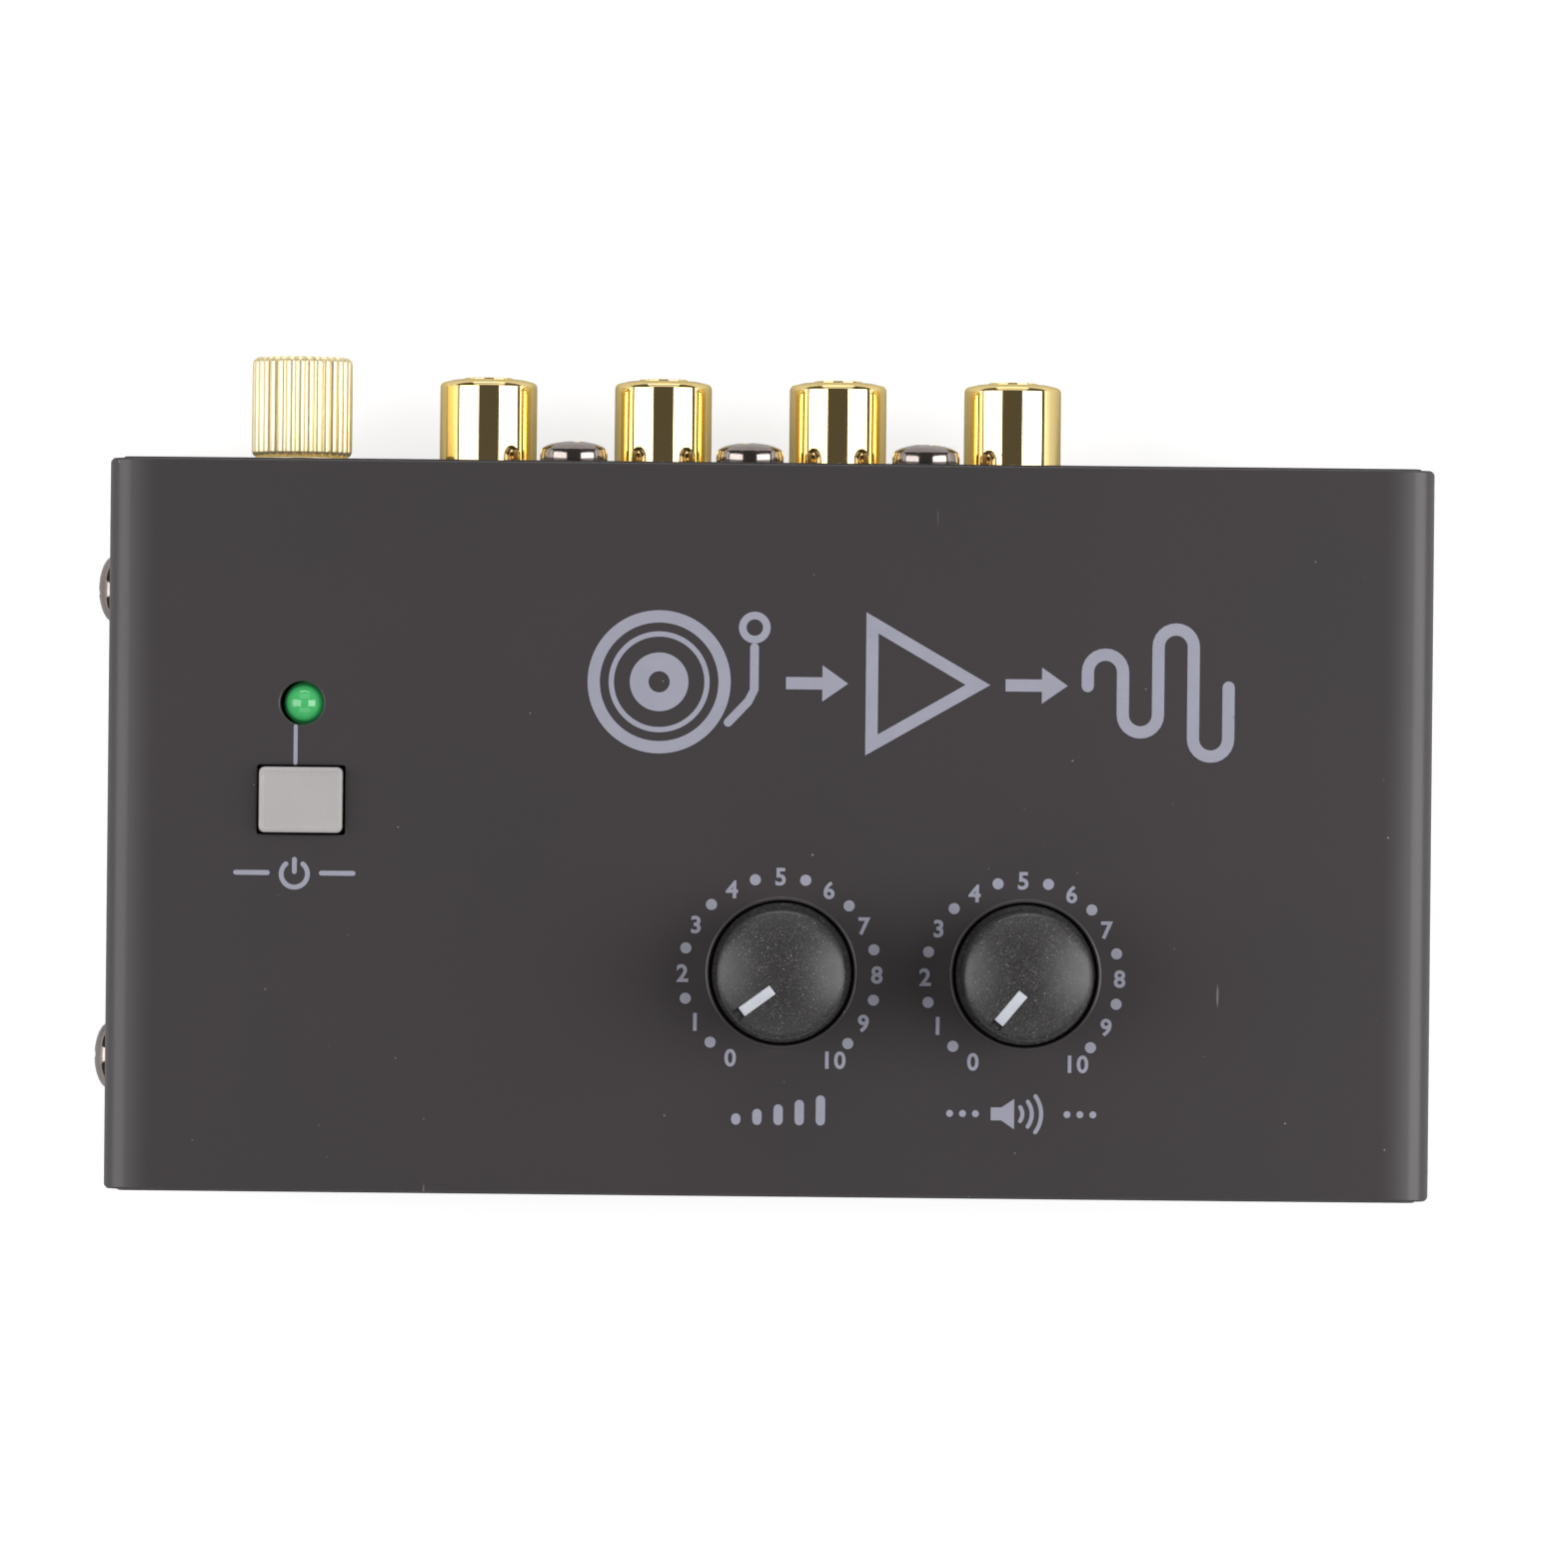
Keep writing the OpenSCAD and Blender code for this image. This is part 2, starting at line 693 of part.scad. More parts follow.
module cover() placed() color(paint) {
    difference() {
        intersection() {
            translate([0, 0, foot_h + cover_lift])
                along_depth(cover_d)
                    folded_down(cover_w, body_h - cover_lift, sheet_t, cover_bend_r);
            linear_extrude(height = cover_top + cut)
                round_plan(cover_w, cover_d, corner_r);
        }
        for (x = [level_x, volume_x])
            translate([x, -dial_front, cover_under - cut])
                cylinder(r = knob_r + knob_gap, h = sheet_t + 2 * cut);
        translate([button_x, button_y, cover_under - cut])
            slab(button_w + 2 * button_gap_x, button_d + 2 * button_gap_y, sheet_t + 2 * cut);
        translate([button_x, lamp_y, cover_under - cut])
            cylinder(r = lamp_r + lamp_gap, h = sheet_t + 2 * cut);
        for (s = [-1, 1]) {
            translate([-cover_w / 2 - cut, s * side_screw_y, side_z])
                rotate([0, 90, 0])
                    cylinder(r = screw_r + screw_gap, h = sheet_t + 2 * cut);
            translate([cover_w / 2 - sheet_t / 2, s * side_screw_y, side_z - lug_h / 2 - lug_gap])
                slab(sheet_t + 2 * cut, lug_l + 2 * lug_gap, lug_h + 2 * lug_gap);
        }
    }
}

// Holes through the rear wall for what it carries
module rear_holes() {
    for (i = [0:rca_count - 1])
        translate([rca_at(i), rear_in - cut, rca_z])
            rearward() cylinder(r = collar_r + collar_gap, h = sheet_t + 2 * cut);
    for (i = [0:rca_count - 2])
        translate([rca_at(i + 0.5), rear_in - cut, panel_screw_z])
            rearward() cylinder(r = screw_r + screw_gap, h = sheet_t + 2 * cut);
    translate([earth_x, rear_in - cut, earth_z])
        rearward() cylinder(r = earth_bolt_r + seat_gap, h = sheet_t + 2 * cut);
    translate([jack_x, rear_in - cut, jack_z])
        rearward() cylinder(r = jack_collar_r + collar_gap, h = sheet_t + 2 * cut);
    translate([inlet_x, rear_in - cut, inlet_z])
        rearward() cylinder(r = inlet_collar_r + collar_gap, h = sheet_t + 2 * cut);
}

// The hook lugs on the right flange
module lugs() {
    reach = sheet_t + cover_gap - lug_recess;
    for (s = [-1, 1])
        translate([base_w / 2 - sheet_t / 2, s * side_screw_y - lug_l / 2, side_z - lug_h / 2])
            cube([reach + sheet_t / 2, lug_l, lug_h]);
}

module base_tray() placed() color(paint) {
    difference() {
        union() {
            difference() {
                intersection() {
                    translate([0, 0, foot_h])
                        along_width(base_w)
                            folded_up(2 * rear_out, wall_top - foot_h, sheet_t, base_bend_r);
                    translate([0, 0, foot_h])
                        along_depth(2 * (rear_out + cut))
                            arch(base_w, wall_top - foot_h, cover_bend_r - sheet_t);
                }
                for (s = [-1, 1])
                    translate([s * base_w / 2, 0, foot_h - cut])
                        slab(2 * base_bend_r, flange_l + 2 * relief_w, base_bend_r + 2 * cut);
            }
            translate([0, 0, foot_h])
                along_depth(flange_l)
                    folded_up(base_w, flange_h, sheet_t, base_bend_r);
            lugs();
        }
        rear_holes();
        for (s = [-1, 1])
            translate([-base_w / 2 - cut, s * side_screw_y, side_z])
                rotate([0, 90, 0])
                    cylinder(r = screw_r + thread_gap, h = sheet_t + 2 * cut);
    }
}

module foot(sx, sy) placed() color(plastic) {
    translate([sx * foot_x, sy * foot_y, 0])
        rotate_extrude()
            polygon([[0, 0], [foot_d / 2 - foot_chamfer, 0], [foot_d / 2, foot_chamfer],
                [foot_d / 2, foot_h], [0, foot_h]]);
}

module foot_front_left() foot(-1, -1);
module foot_front_right() foot(1, -1);
module foot_rear_left() foot(-1, 1);
module foot_rear_right() foot(1, 1);

module cover_screw(s) placed() color(nickel) {
    translate([-cover_w / 2, s * side_screw_y, side_z])
        rotate([0, -90, 0])
            screw(side_head_r, side_head_h, side_screw_l);
}

module cover_screw_front() cover_screw(-1);
module cover_screw_rear() cover_screw(1);

module panel_screw(i) placed() color(nickel) {
    translate([rca_at(i + 0.5), rear_out, panel_screw_z])
        rearward() screw(head_r, panel_head_h, panel_screw_l);
}

module panel_screw_left() panel_screw(0);
module panel_screw_middle() panel_screw(1);
module panel_screw_right() panel_screw(2);

// ---------- board ----------

module circuit_board() placed() color([0.08, 0.3, 0.16]) {
    difference() {
        translate([0, (board_rear + board_front) / 2, board_z])
            slab(board_w, board_d, board_t);
        for (p = pillars_at)
            translate([p[0], p[1], board_z - cut])
                cylinder(r = screw_r + screw_gap, h = board_t + 2 * cut);
    }
}

module pillars() placed() color(nickel) {
    for (p = pillars_at)
        translate([p[0], p[1], plate_top])
            difference() {
                cylinder(d = pillar_af / cos(30), h = board_lift, $fn = 6);
                translate([0, 0, -cut])
                    cylinder(r = screw_r + thread_gap, h = board_lift + 2 * cut);
            }
}

module board_screws() placed() color(nickel) {
    for (p = pillars_at)
        translate([p[0], p[1], board_top])
            screw(head_r, board_head_h, board_screw_l);
}

// ---------- phono sockets ----------

module socket_block() placed() color(plastic) {
    difference() {
        union() {
            translate([block_left, block_front, board_top])
                cube([block_w, block_d, block_h]);
            for (i = [0:rca_count - 1])
                translate([rca_at(i), block_rear - cut, rca_z])
                    rearward() cylinder(r = collar_r, h = shell_front - block_rear + cut);
        }
        for (i = [0:rca_count - 1]) {
            translate([rca_at(i), shell_back, rca_z])
                rearward() cylinder(r = root_r + seat_gap, h = shell_front - shell_back + cut);
            translate([rca_at(i), block_front - cut, rca_z])
                rearward() cylinder(r = tail_r + screw_gap, h = block_d);
        }
        for (i = [0:rca_count - 2])
            translate([rca_at(i + 0.5), rear_out - panel_screw_l - pilot_gap, panel_screw_z])
                rearward() cylinder(r = screw_r + thread_gap, h = panel_screw_l + pilot_gap + cut);
    }
}

module socket_shell(i) placed() color(gold) {
    neck_end = shell_front + shell_neck;
    rim_h = shell_tip - lip_rise - neck_end;
    flat_r = shell_r - shell_round;
    translate([rca_at(i), 0, rca_z])
        rearward()
            difference() {
                union() {
                    translate([0, 0, shell_back])
                        cylinder(r = root_r, h = shell_front - shell_back);
                    translate([0, 0, shell_back])
                        cylinder(r = shell_r - shell_neck_depth, h = neck_end - shell_back);
                    translate([0, 0, neck_end])
                        rotate_extrude() {
                            square([shell_r, rim_h - shell_round]);
                            polygon([[0, 0], [flat_r, 0], [flat_r, rim_h], [lip_r, rim_h + lip_rise],
                                [0, rim_h + lip_rise]]);
                            translate([flat_r, rim_h - shell_round])
                                intersection() {
                                    circle(shell_round);
                                    square(shell_round);
                                }
                        }
                }
                translate([0, 0, shell_back - cut])
                    cylinder(r = shell_bore_r, h = lip_floor - shell_back + cut);
                translate([0, 0, shell_back])
                    cylinder(r = lip_r, h = shell_tip - shell_back + cut);
            }
}

module socket_shell_1() socket_shell(0);
module socket_shell_2() socket_shell(1);
module socket_shell_3() socket_shell(2);
module socket_shell_4() socket_shell(3);

module socket_insulator(i, tint) placed() color(tint) {
    boss_r = lip_r - seat_gap;
    l = insulator_tip - insulator_back;
    translate([rca_at(i), insulator_back, rca_z])
        rearward()
            difference() {
                union() {
                    cylinder(r = shell_bore_r - seat_gap, h = lip_floor - seat_gap - insulator_back);
                    cylinder(r = boss_r, h = l - insulator_proud);
                    translate([0, 0, l - insulator_proud])
                        cylinder(r1 = boss_r, r2 = boss_r - 2 * insulator_proud, h = insulator_proud);
                }
                translate([0, 0, -cut])
                    cylinder(r = contact_r + seat_gap, h = l + 2 * cut);
            }
}

module socket_insulator_1() socket_insulator(0, [0.75, 0.1, 0.08]);
module socket_insulator_2() socket_insulator(1, [0.92, 0.91, 0.88]);
module socket_insulator_3() socket_insulator(2, [0.75, 0.1, 0.08]);
module socket_insulator_4() socket_insulator(3, [0.92, 0.91, 0.88]);

module socket_contact(i) placed() color(gold) {
    tail_y = block_front - 2 * tail_r;
    translate([rca_at(i), 0, rca_z]) {
        rearward()
            difference() {
                union() {
                    translate([0, 0, contact_back])
                        cylinder(r = contact_r, h = contact_tip - contact_back);
                    translate([0, 0, tail_y])
                        cylinder(r = tail_r, h = contact_back - tail_y + contact_t / 2);
                }
                translate([0, 0, contact_back + contact_t])
                    cylinder(r = contact_bore_r, h = contact_depth + cut);
            }
        translate([0, tail_y, -rca_lift])
            cylinder(r = tail_r, h = rca_lift);
        translate([0, tail_y, 0])
            sphere(r = tail_r);
    }
}

module socket_contact_1() socket_contact(0);
module socket_contact_2() socket_contact(1);
module socket_contact_3() socket_contact(2);
module socket_contact_4() socket_contact(3);

// ---------- earth terminal ----------

module earth_bolt() placed() color(gold) {
    head_back = rear_in - earth_lug_t - earth_head_t;
    translate([earth_x, head_back, earth_z])
        rearward() {
            cylinder(d = earth_head_af / cos(30), h = earth_head_t, $fn = 6);
            cylinder(r = earth_bolt_r, h = bolt_tip - head_back);
        }
}

module earth_lug() placed() color(nickel) {
    foot_back = rear_in - earth_lug_t;
    difference() {
        union() {
            translate([earth_x, foot_back, earth_z])
                rearward() cylinder(d = earth_lug_w, h = earth_lug_t);
            translate([earth_x - earth_foot_w / 2, foot_back, board_top])
                cube([earth_foot_w, earth_lug_t, earth_lift]);
            translate([earth_x - earth_foot_w / 2, foot_back - earth_foot_l, board_top])
                cube([earth_foot_w, earth_foot_l + earth_lug_t, earth_lug_t]);
        }
        translate([earth_x, foot_back - cut, earth_z])
            rearward() cylinder(r = earth_bolt_r + seat_gap, h = earth_lug_t + 2 * cut);
    }
}

module earth_washer() placed() color(gold) {
    translate([earth_x, rear_out + washer_gap, earth_z])
        rearward() tube(washer_r, earth_bolt_r + shaft_gap, washer_t);
}

module earth_nut() placed() color(gold) {
    step = 180 / nut_ridges;
    rim = [for (k = [0:2 * nut_ridges - 1])
        let (r = k % 2 == 0 ? nut_r : nut_r - nut_groove)
        [r * cos(k * step), r * sin(k * step)]];
    edge_r = nut_r - nut_chamfer;
    translate([earth_x, nut_start, earth_z])
        rearward()
            difference() {
                intersection() {
                    linear_extrude(height = nut_l)
                        polygon(rim);
                    rotate_extrude()
                        polygon([[0, 0], [edge_r, 0], [edge_r + nut_l / 2, nut_l / 2],
                            [edge_r, nut_l], [0, nut_l]]);
                }
                translate([0, 0, -cut])
                    cylinder(r = earth_bolt_r + shaft_gap, h = nut_l + 2 * cut);
                translate([0, 0, nut_l - nut_chamfer])
                    cylinder(r1 = earth_bolt_r, r2 = earth_bolt_r + 2 * nut_chamfer,
                        h = 2 * nut_chamfer);
            }
}

// ---------- power inlet ----------

module inlet_body() placed() color(plastic) {
    difference() {
        union() {
            translate([inlet_x - inlet_w / 2, inlet_front, board_top])
                cube([inlet_w, inlet_d, inlet_h]);
            translate([inlet_x, block_rear - cut, inlet_z])
                rearward() cylinder(r = inlet_collar_r, h = rear_out - collar_recess - block_rear + cut);
        }
        translate([inlet_x, inlet_floor, inlet_z])
            rearward() cylinder(r = inlet_bore_r, h = inlet_bore_l + cut);
        translate([inlet_x, inlet_front - cut, inlet_z])
            rearward() cylinder(r = inlet_pin_r + inlet_root + seat_gap, h = inlet_floor - inlet_front + 2 * cut);
    }
}

module inlet_pin() placed() color(nickel) {
    tip = rear_out - collar_recess - inlet_pin_recess;
    translate([inlet_x, inlet_front, inlet_z])
        rearward() {
            cylinder(r = inlet_pin_r + inlet_root, h = inlet_floor - inlet_front);
            cylinder(r = inlet_pin_r, h = tip - inlet_pin_taper - inlet_front);
            translate([0, 0, tip - inlet_pin_taper - inlet_front])
                cylinder(r1 = inlet_pin_r, r2 = inlet_pin_r / 2, h = inlet_pin_taper);
        }
}

module inlet_contact() placed() color(nickel) {
    strap_z = inlet_z - board_top + inlet_pin_r;
    translate([inlet_x - strap_w / 2, inlet_front - strap_t - seat_gap, board_top])
        cube([strap_w, strap_t, strap_z]);
}

// ---------- output socket ----------

module output_body() placed() color(plastic) {
    difference() {
        union() {
            translate([jack_x - jack_w / 2, jack_front, board_top])
                cube([jack_w, block_rear - jack_front, jack_h]);
            translate([jack_x, block_rear - cut, jack_z])
                rearward() cylinder(r = jack_collar_r, h = rear_out - block_rear + cut);
        }
        translate([jack_x, rear_out - jack_bore_l, jack_z])
            rearward() cylinder(r = jack_bore_r, h = jack_bore_l + cut);
    }
}

module output_contacts() placed() color(nickel) {
    y0 = (jack_front + block_rear) / 2;
    for (k = [-1, 0, 1])
        translate([jack_x, y0 + k * strap_pitch - strap_w / 2, board_top]) {
            translate([0, 0, jack_h + seat_gap])
                cube([jack_w / 2 + seat_gap + strap_t, strap_w, strap_t]);
            translate([jack_w / 2 + seat_gap, 0, 0])
                cube([strap_t, strap_w, jack_h + seat_gap + strap_t]);
        }
}

// ---------- dials ----------

module pot(x) placed() color([0.55, 0.56, 0.57]) {
    bore_r = shaft_r + shaft_gap;
    translate([x, -dial_front, board_top])
        difference() {
            union() {
                slab(pot_w, pot_w, pot_h);
                cylinder(r = bore_r + bushing_t, h = pot_h + bushing_l);
            }
            translate([0, 0, pot_floor - shaft_gap])
                cylinder(r = bore_r, h = pot_h + bushing_l);
        }
}

// The shaft's round section with its flat, seen from above
module shaft_section(r, flat) {
    difference() {
        circle(r);
        translate([-2 * r, r - flat])
            square([4 * r, 2 * r]);
    }
}

module shaft(x, rest) placed() color(nickel) {
    translate([x, -dial_front, 0])
        rotate([0, 0, -rest]) {
            translate([0, 0, shaft_bottom])
                cylinder(r = shaft_r, h = bushing_top - shaft_bottom);
            translate([0, 0, bushing_top])
                linear_extrude(height = shaft_top - bushing_top)
                    shaft_section(shaft_r, shaft_flat);
        }
}

// The turned outline of a knob, with its bevelled rim and hollow top
module knob_form() {
    top_r = knob_r - knob_bevel;
    dish_r = top_r - dish_rim;
    bowl_r = (dish_r * dish_r + dish_depth * dish_depth) / (2 * dish_depth);
    rotate_extrude()
        difference() {
            polygon([[0, knob_bottom], [knob_r, knob_bottom], [knob_r, knob_top - knob_bevel_h],
                [top_r, knob_top], [0, knob_top]]);
            translate([0, knob_top - dish_depth + bowl_r])
                circle(bowl_r, $fn = 256);
        }
}

// The slot that the pointer lies in, open at the knob's rim
module pointer_slot(w, r_out, floor_z) {
    translate([-pointer_side - w / 2, pointer_in, floor_z])
        cube([w, r_out - pointer_in, knob_top - floor_z + cut]);
}

module knob(x, rest) placed() color([0.2, 0.2, 0.205]) {
    translate([x, -dial_front, 0])
        rotate([0, 0, -rest])
            difference() {
                knob_form();
                pointer_slot(pointer_w, knob_r + cut, knob_top - pointer_depth);
                translate([0, 0, knob_bottom - cut])
                    linear_extrude(height = shaft_top - knob_bottom + cut + seat_gap)
                        shaft_section(shaft_r + seat_gap, shaft_flat);
            }
}

module pointer(x, rest) placed() color([0.93, 0.93, 0.95]) {
    translate([x, -dial_front, 0])
        rotate([0, 0, -rest])
            intersection() {
                knob_form();
                translate([0, seat_gap, 0])
                    pointer_slot(pointer_w - 2 * seat_gap, pointer_out - seat_gap,
                        knob_top - pointer_depth + seat_gap);
            }
}

module level_pot() pot(level_x);
module level_shaft() shaft(level_x, level_rest);
module level_knob() knob(level_x, level_rest);
module level_pointer() pointer(level_x, level_rest);
module volume_pot() pot(volume_x);
module volume_shaft() shaft(volume_x, volume_rest);
module volume_knob() knob(volume_x, volume_rest);
module volume_pointer() pointer(volume_x, volume_rest);

// ---------- switch ----------

module switch_case() placed() color(plastic) {
    well_w = plunger_w + 2 * plunger_gap;
    translate([button_x, button_y, board_top])
        difference() {
            slab(switch_w, switch_w, switch_h);
            translate([0, 0, switch_h - switch_well])
                slab(well_w, well_w, switch_well + cut);
        }
}

module switch_plunger() placed() color([0.88, 0.87, 0.84]) {
    translate([button_x, button_y, switch_top - plunger_seat])
        slab(plunger_w, plunger_w, button_bottom + plunger_in - switch_top + plunger_seat);
}

module button_cap() placed() color([0.76, 0.75, 0.74]) {
    socket_w = plunger_w + 2 * seat_gap;
    translate([button_x, button_y, button_bottom])
        difference() {
            hull() {
                slab(button_w, button_d, button_h - button_bevel);
                slab(button_w - 2 * button_bevel, button_d - 2 * button_bevel, button_h);
            }
            translate([0, 0, -cut])
                slab(socket_w, socket_w, plunger_in + seat_gap + cut);
        }
}

module switch_spring() placed() color(nickel) {
    sides = 8;
    steps = 16 * spring_turns;
    low = switch_top + spring_wire_r + spring_gap;
    high = button_bottom - spring_wire_r - spring_gap;
    rise = high - low;
    ring = [for (k = [0:steps])
        let (a = 360 * spring_turns * k / steps, z = low + rise * k / steps)
        for (j = [0:sides - 1])
            let (b = 360 * j / sides, r = spring_r + spring_wire_r * cos(b))
            [button_x + r * cos(a), button_y + r * sin(a), z + spring_wire_r * sin(b)]];
    walls = [for (k = [0:steps - 1], j = [0:sides - 1])
        let (n = (j + 1) % sides)
        [k * sides + j, (k + 1) * sides + j, (k + 1) * sides + n, k * sides + n]];
    first = [for (j = [0:sides - 1]) j];
    last = [for (j = [0:sides - 1]) steps * sides + sides - 1 - j];
    polyhedron(ring, concat(walls, [first], [last]));
}

// ---------- lamp ----------

module lamp_lens() placed() color([0.3, 0.8, 0.42]) {
    translate([button_x + lamp_side, lamp_y, lamp_bottom]) {
        cylinder(r = lamp_r + lamp_flange, h = lamp_flange_t);
        cylinder(r = lamp_r, h = lamp_h - lamp_r);
        translate([0, 0, lamp_h - lamp_r])
            sphere(r = lamp_r);
    }
}

module lamp_leads() placed() color(nickel) {
    for (s = [-1, 1])
        translate([button_x + lamp_side + s * lead_pitch, lamp_y, board_top])
            slab(lead_w, lead_w, lamp_bottom - board_top);
}

// ---------- board parts ----------

// A capacitor's can with a groove near its foot
module can(r, h) {
    rotate_extrude()
        polygon([[0, 0], [r, 0], [r, cap_groove_z], [r - cap_groove, cap_groove_z + cap_groove],
            [r, cap_groove_z + 2 * cap_groove], [r, h], [0, h]]);
}

module small_capacitors() placed() color([0.1, 0.12, 0.2]) {
    for (k = [0:3])
        translate([cap_x + k * cap_pitch, board_front + cap_inset, board_top])
            can(cap_r, cap_h);
}

module large_capacitors() placed() color([0.1, 0.12, 0.2]) {
    for (k = [0, 1])
        translate([big_cap_x, jack_front - big_cap_gap - big_cap_r - k * big_cap_pitch, board_top])
            can(big_cap_r, big_cap_h);
}

module film_capacitors() placed() color([0.65, 0.12, 0.1]) {
    for (k = [0:3])
        translate([film_x + k * film_pitch, film_y, board_top])
            slab(film_t, film_l, film_h);
}

module amplifier_chips() placed() color(plastic) {
    for (k = [0, 1])
        translate([chip_x + k * chip_pitch, chip_y, board_top]) {
            translate([0, 0, chip_lift])
                slab(chip_l, chip_w, chip_t);
            for (j = [-1.5:1:1.5], s = [-1, 1])
                translate([j * pin_pitch, s * (chip_w / 2 + pin_out), 0])
                    slab(pin_w, pin_w, chip_lift + chip_t / 2);
        }
}

module resistors() placed() color([0.3, 0.5, 0.65]) {
    axis_z = res_r + res_lift;
    for (k = [0:5])
        translate([res_x + k * res_pitch, res_y, board_top + axis_z]) {
            rotate([90, 0, 0])
                cylinder(r = res_r, h = res_l, center = true);
            rotate([90, 0, 0])
                cylinder(r = res_lead_r, h = res_l + 2 * res_lead, center = true);
            for (s = [-1, 1])
                translate([0, s * (res_l / 2 + res_lead - res_lead_r), -axis_z])
                    cylinder(r = res_lead_r, h = axis_z);
        }
}

module heat_sink() placed() color([0.12, 0.12, 0.13]) {
    translate([sink_x, block_front - sink_gap, board_top])
        difference() {
            translate([-sink_w / 2, -sink_d, 0])
                cube([sink_w, sink_d, sink_h]);
            translate([sink_t - sink_w / 2, -sink_d - cut, -cut])
                cube([sink_w - 2 * sink_t, sink_d - sink_t + cut, sink_h + 2 * cut]);
        }
}

module regulator() placed() color(plastic) {
    back = block_front - sink_gap - sink_t - seat_gap;
    translate([sink_x, back - reg_t / 2, board_top]) {
        translate([0, 0, reg_lift])
            slab(reg_w, reg_t, reg_h);
        for (k = [-1, 0, 1])
            translate([k * pin_pitch, 0, 0])
                slab(reg_leg_w, reg_leg_t, reg_lift + reg_leg_t);
    }
}

cover();
base_tray();
foot_front_left();
foot_front_right();
foot_rear_left();
foot_rear_right();
circuit_board();
pillars();
board_screws();
cover_screw_front();
cover_screw_rear();
panel_screw_left();
panel_screw_middle();
panel_screw_right();
socket_block();
socket_shell_1();
socket_shell_2();
socket_shell_3();
socket_shell_4();
socket_insulator_1();
socket_insulator_2();
socket_insulator_3();
socket_insulator_4();
socket_contact_1();
socket_contact_2();
socket_contact_3();
socket_contact_4();
earth_bolt();
earth_lug();
earth_washer();
earth_nut();
inlet_body();
inlet_pin();
inlet_contact();
output_body();
output_contacts();
level_pot();
level_shaft();
level_knob();
level_pointer();
volume_pot();
volume_shaft();
volume_knob();
volume_pointer();
switch_case();
switch_plunger();
switch_spring();
button_cap();
lamp_lens();
lamp_leads();
amplifier_chips();
small_capacitors();
large_capacitors();
film_capacitors();
resistors();
regulator();
heat_sink();
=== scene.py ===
"""Dresses the phono preamp: its finishes, its turned, moulded and printed pieces, the studio and the camera.

The sizes of pieces and finishes are in millimetres. Places that come from the frame, and the studio, are in metres.
"""

from __future__ import annotations

import json
import logging
import math
from collections.abc import Callable, Iterable
from dataclasses import asdict, dataclass, field
from enum import Enum
from functools import cache

import bmesh
import bpy
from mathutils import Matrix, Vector

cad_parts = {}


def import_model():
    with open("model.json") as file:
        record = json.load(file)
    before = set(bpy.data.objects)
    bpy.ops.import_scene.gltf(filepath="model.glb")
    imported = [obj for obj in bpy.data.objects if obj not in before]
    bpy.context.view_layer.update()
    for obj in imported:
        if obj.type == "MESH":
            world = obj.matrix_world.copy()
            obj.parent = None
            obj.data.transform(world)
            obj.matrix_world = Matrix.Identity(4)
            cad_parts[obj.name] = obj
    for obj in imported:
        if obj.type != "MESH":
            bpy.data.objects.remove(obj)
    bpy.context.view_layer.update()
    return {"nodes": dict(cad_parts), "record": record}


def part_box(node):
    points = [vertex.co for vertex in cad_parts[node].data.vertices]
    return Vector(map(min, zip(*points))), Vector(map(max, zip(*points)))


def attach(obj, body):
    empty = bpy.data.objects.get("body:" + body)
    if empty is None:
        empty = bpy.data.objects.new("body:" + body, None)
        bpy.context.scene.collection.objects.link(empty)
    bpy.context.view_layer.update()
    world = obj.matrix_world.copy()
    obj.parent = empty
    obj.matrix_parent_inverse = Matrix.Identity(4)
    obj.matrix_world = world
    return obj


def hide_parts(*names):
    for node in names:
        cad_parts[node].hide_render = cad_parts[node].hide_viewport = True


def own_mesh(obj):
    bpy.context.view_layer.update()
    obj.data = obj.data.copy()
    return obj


LOG = logging.getLogger("phono_preamp")
MM = 0.001

Piece = bpy.types.Object
Socket = bpy.types.NodeSocket
Tree = bpy.types.NodeTree
Flat = tuple[float, float]
Point = tuple[float, float, float]
Colour = tuple[float, float, float]
Line = list[Flat]


class Body(Enum):
    """The moving bodies of the preamp."""

    CASE = "case"
    LEVEL = "level_dial"
    VOLUME = "volume_dial"
    BUTTON = "power_button"
    CLAMP = "earth_clamp"
    NUT = "earth_thumb_nut"


class Facing(Enum):
    """Where the upper end of a turned piece points, as the turn that takes it there."""

    UP = (0.0, 0.0, 0.0)
    REAR = (-math.pi / 2, 0.0, 0.0)
    LEFT = (0.0, -math.pi / 2, 0.0)


# ---------- shader building ----------


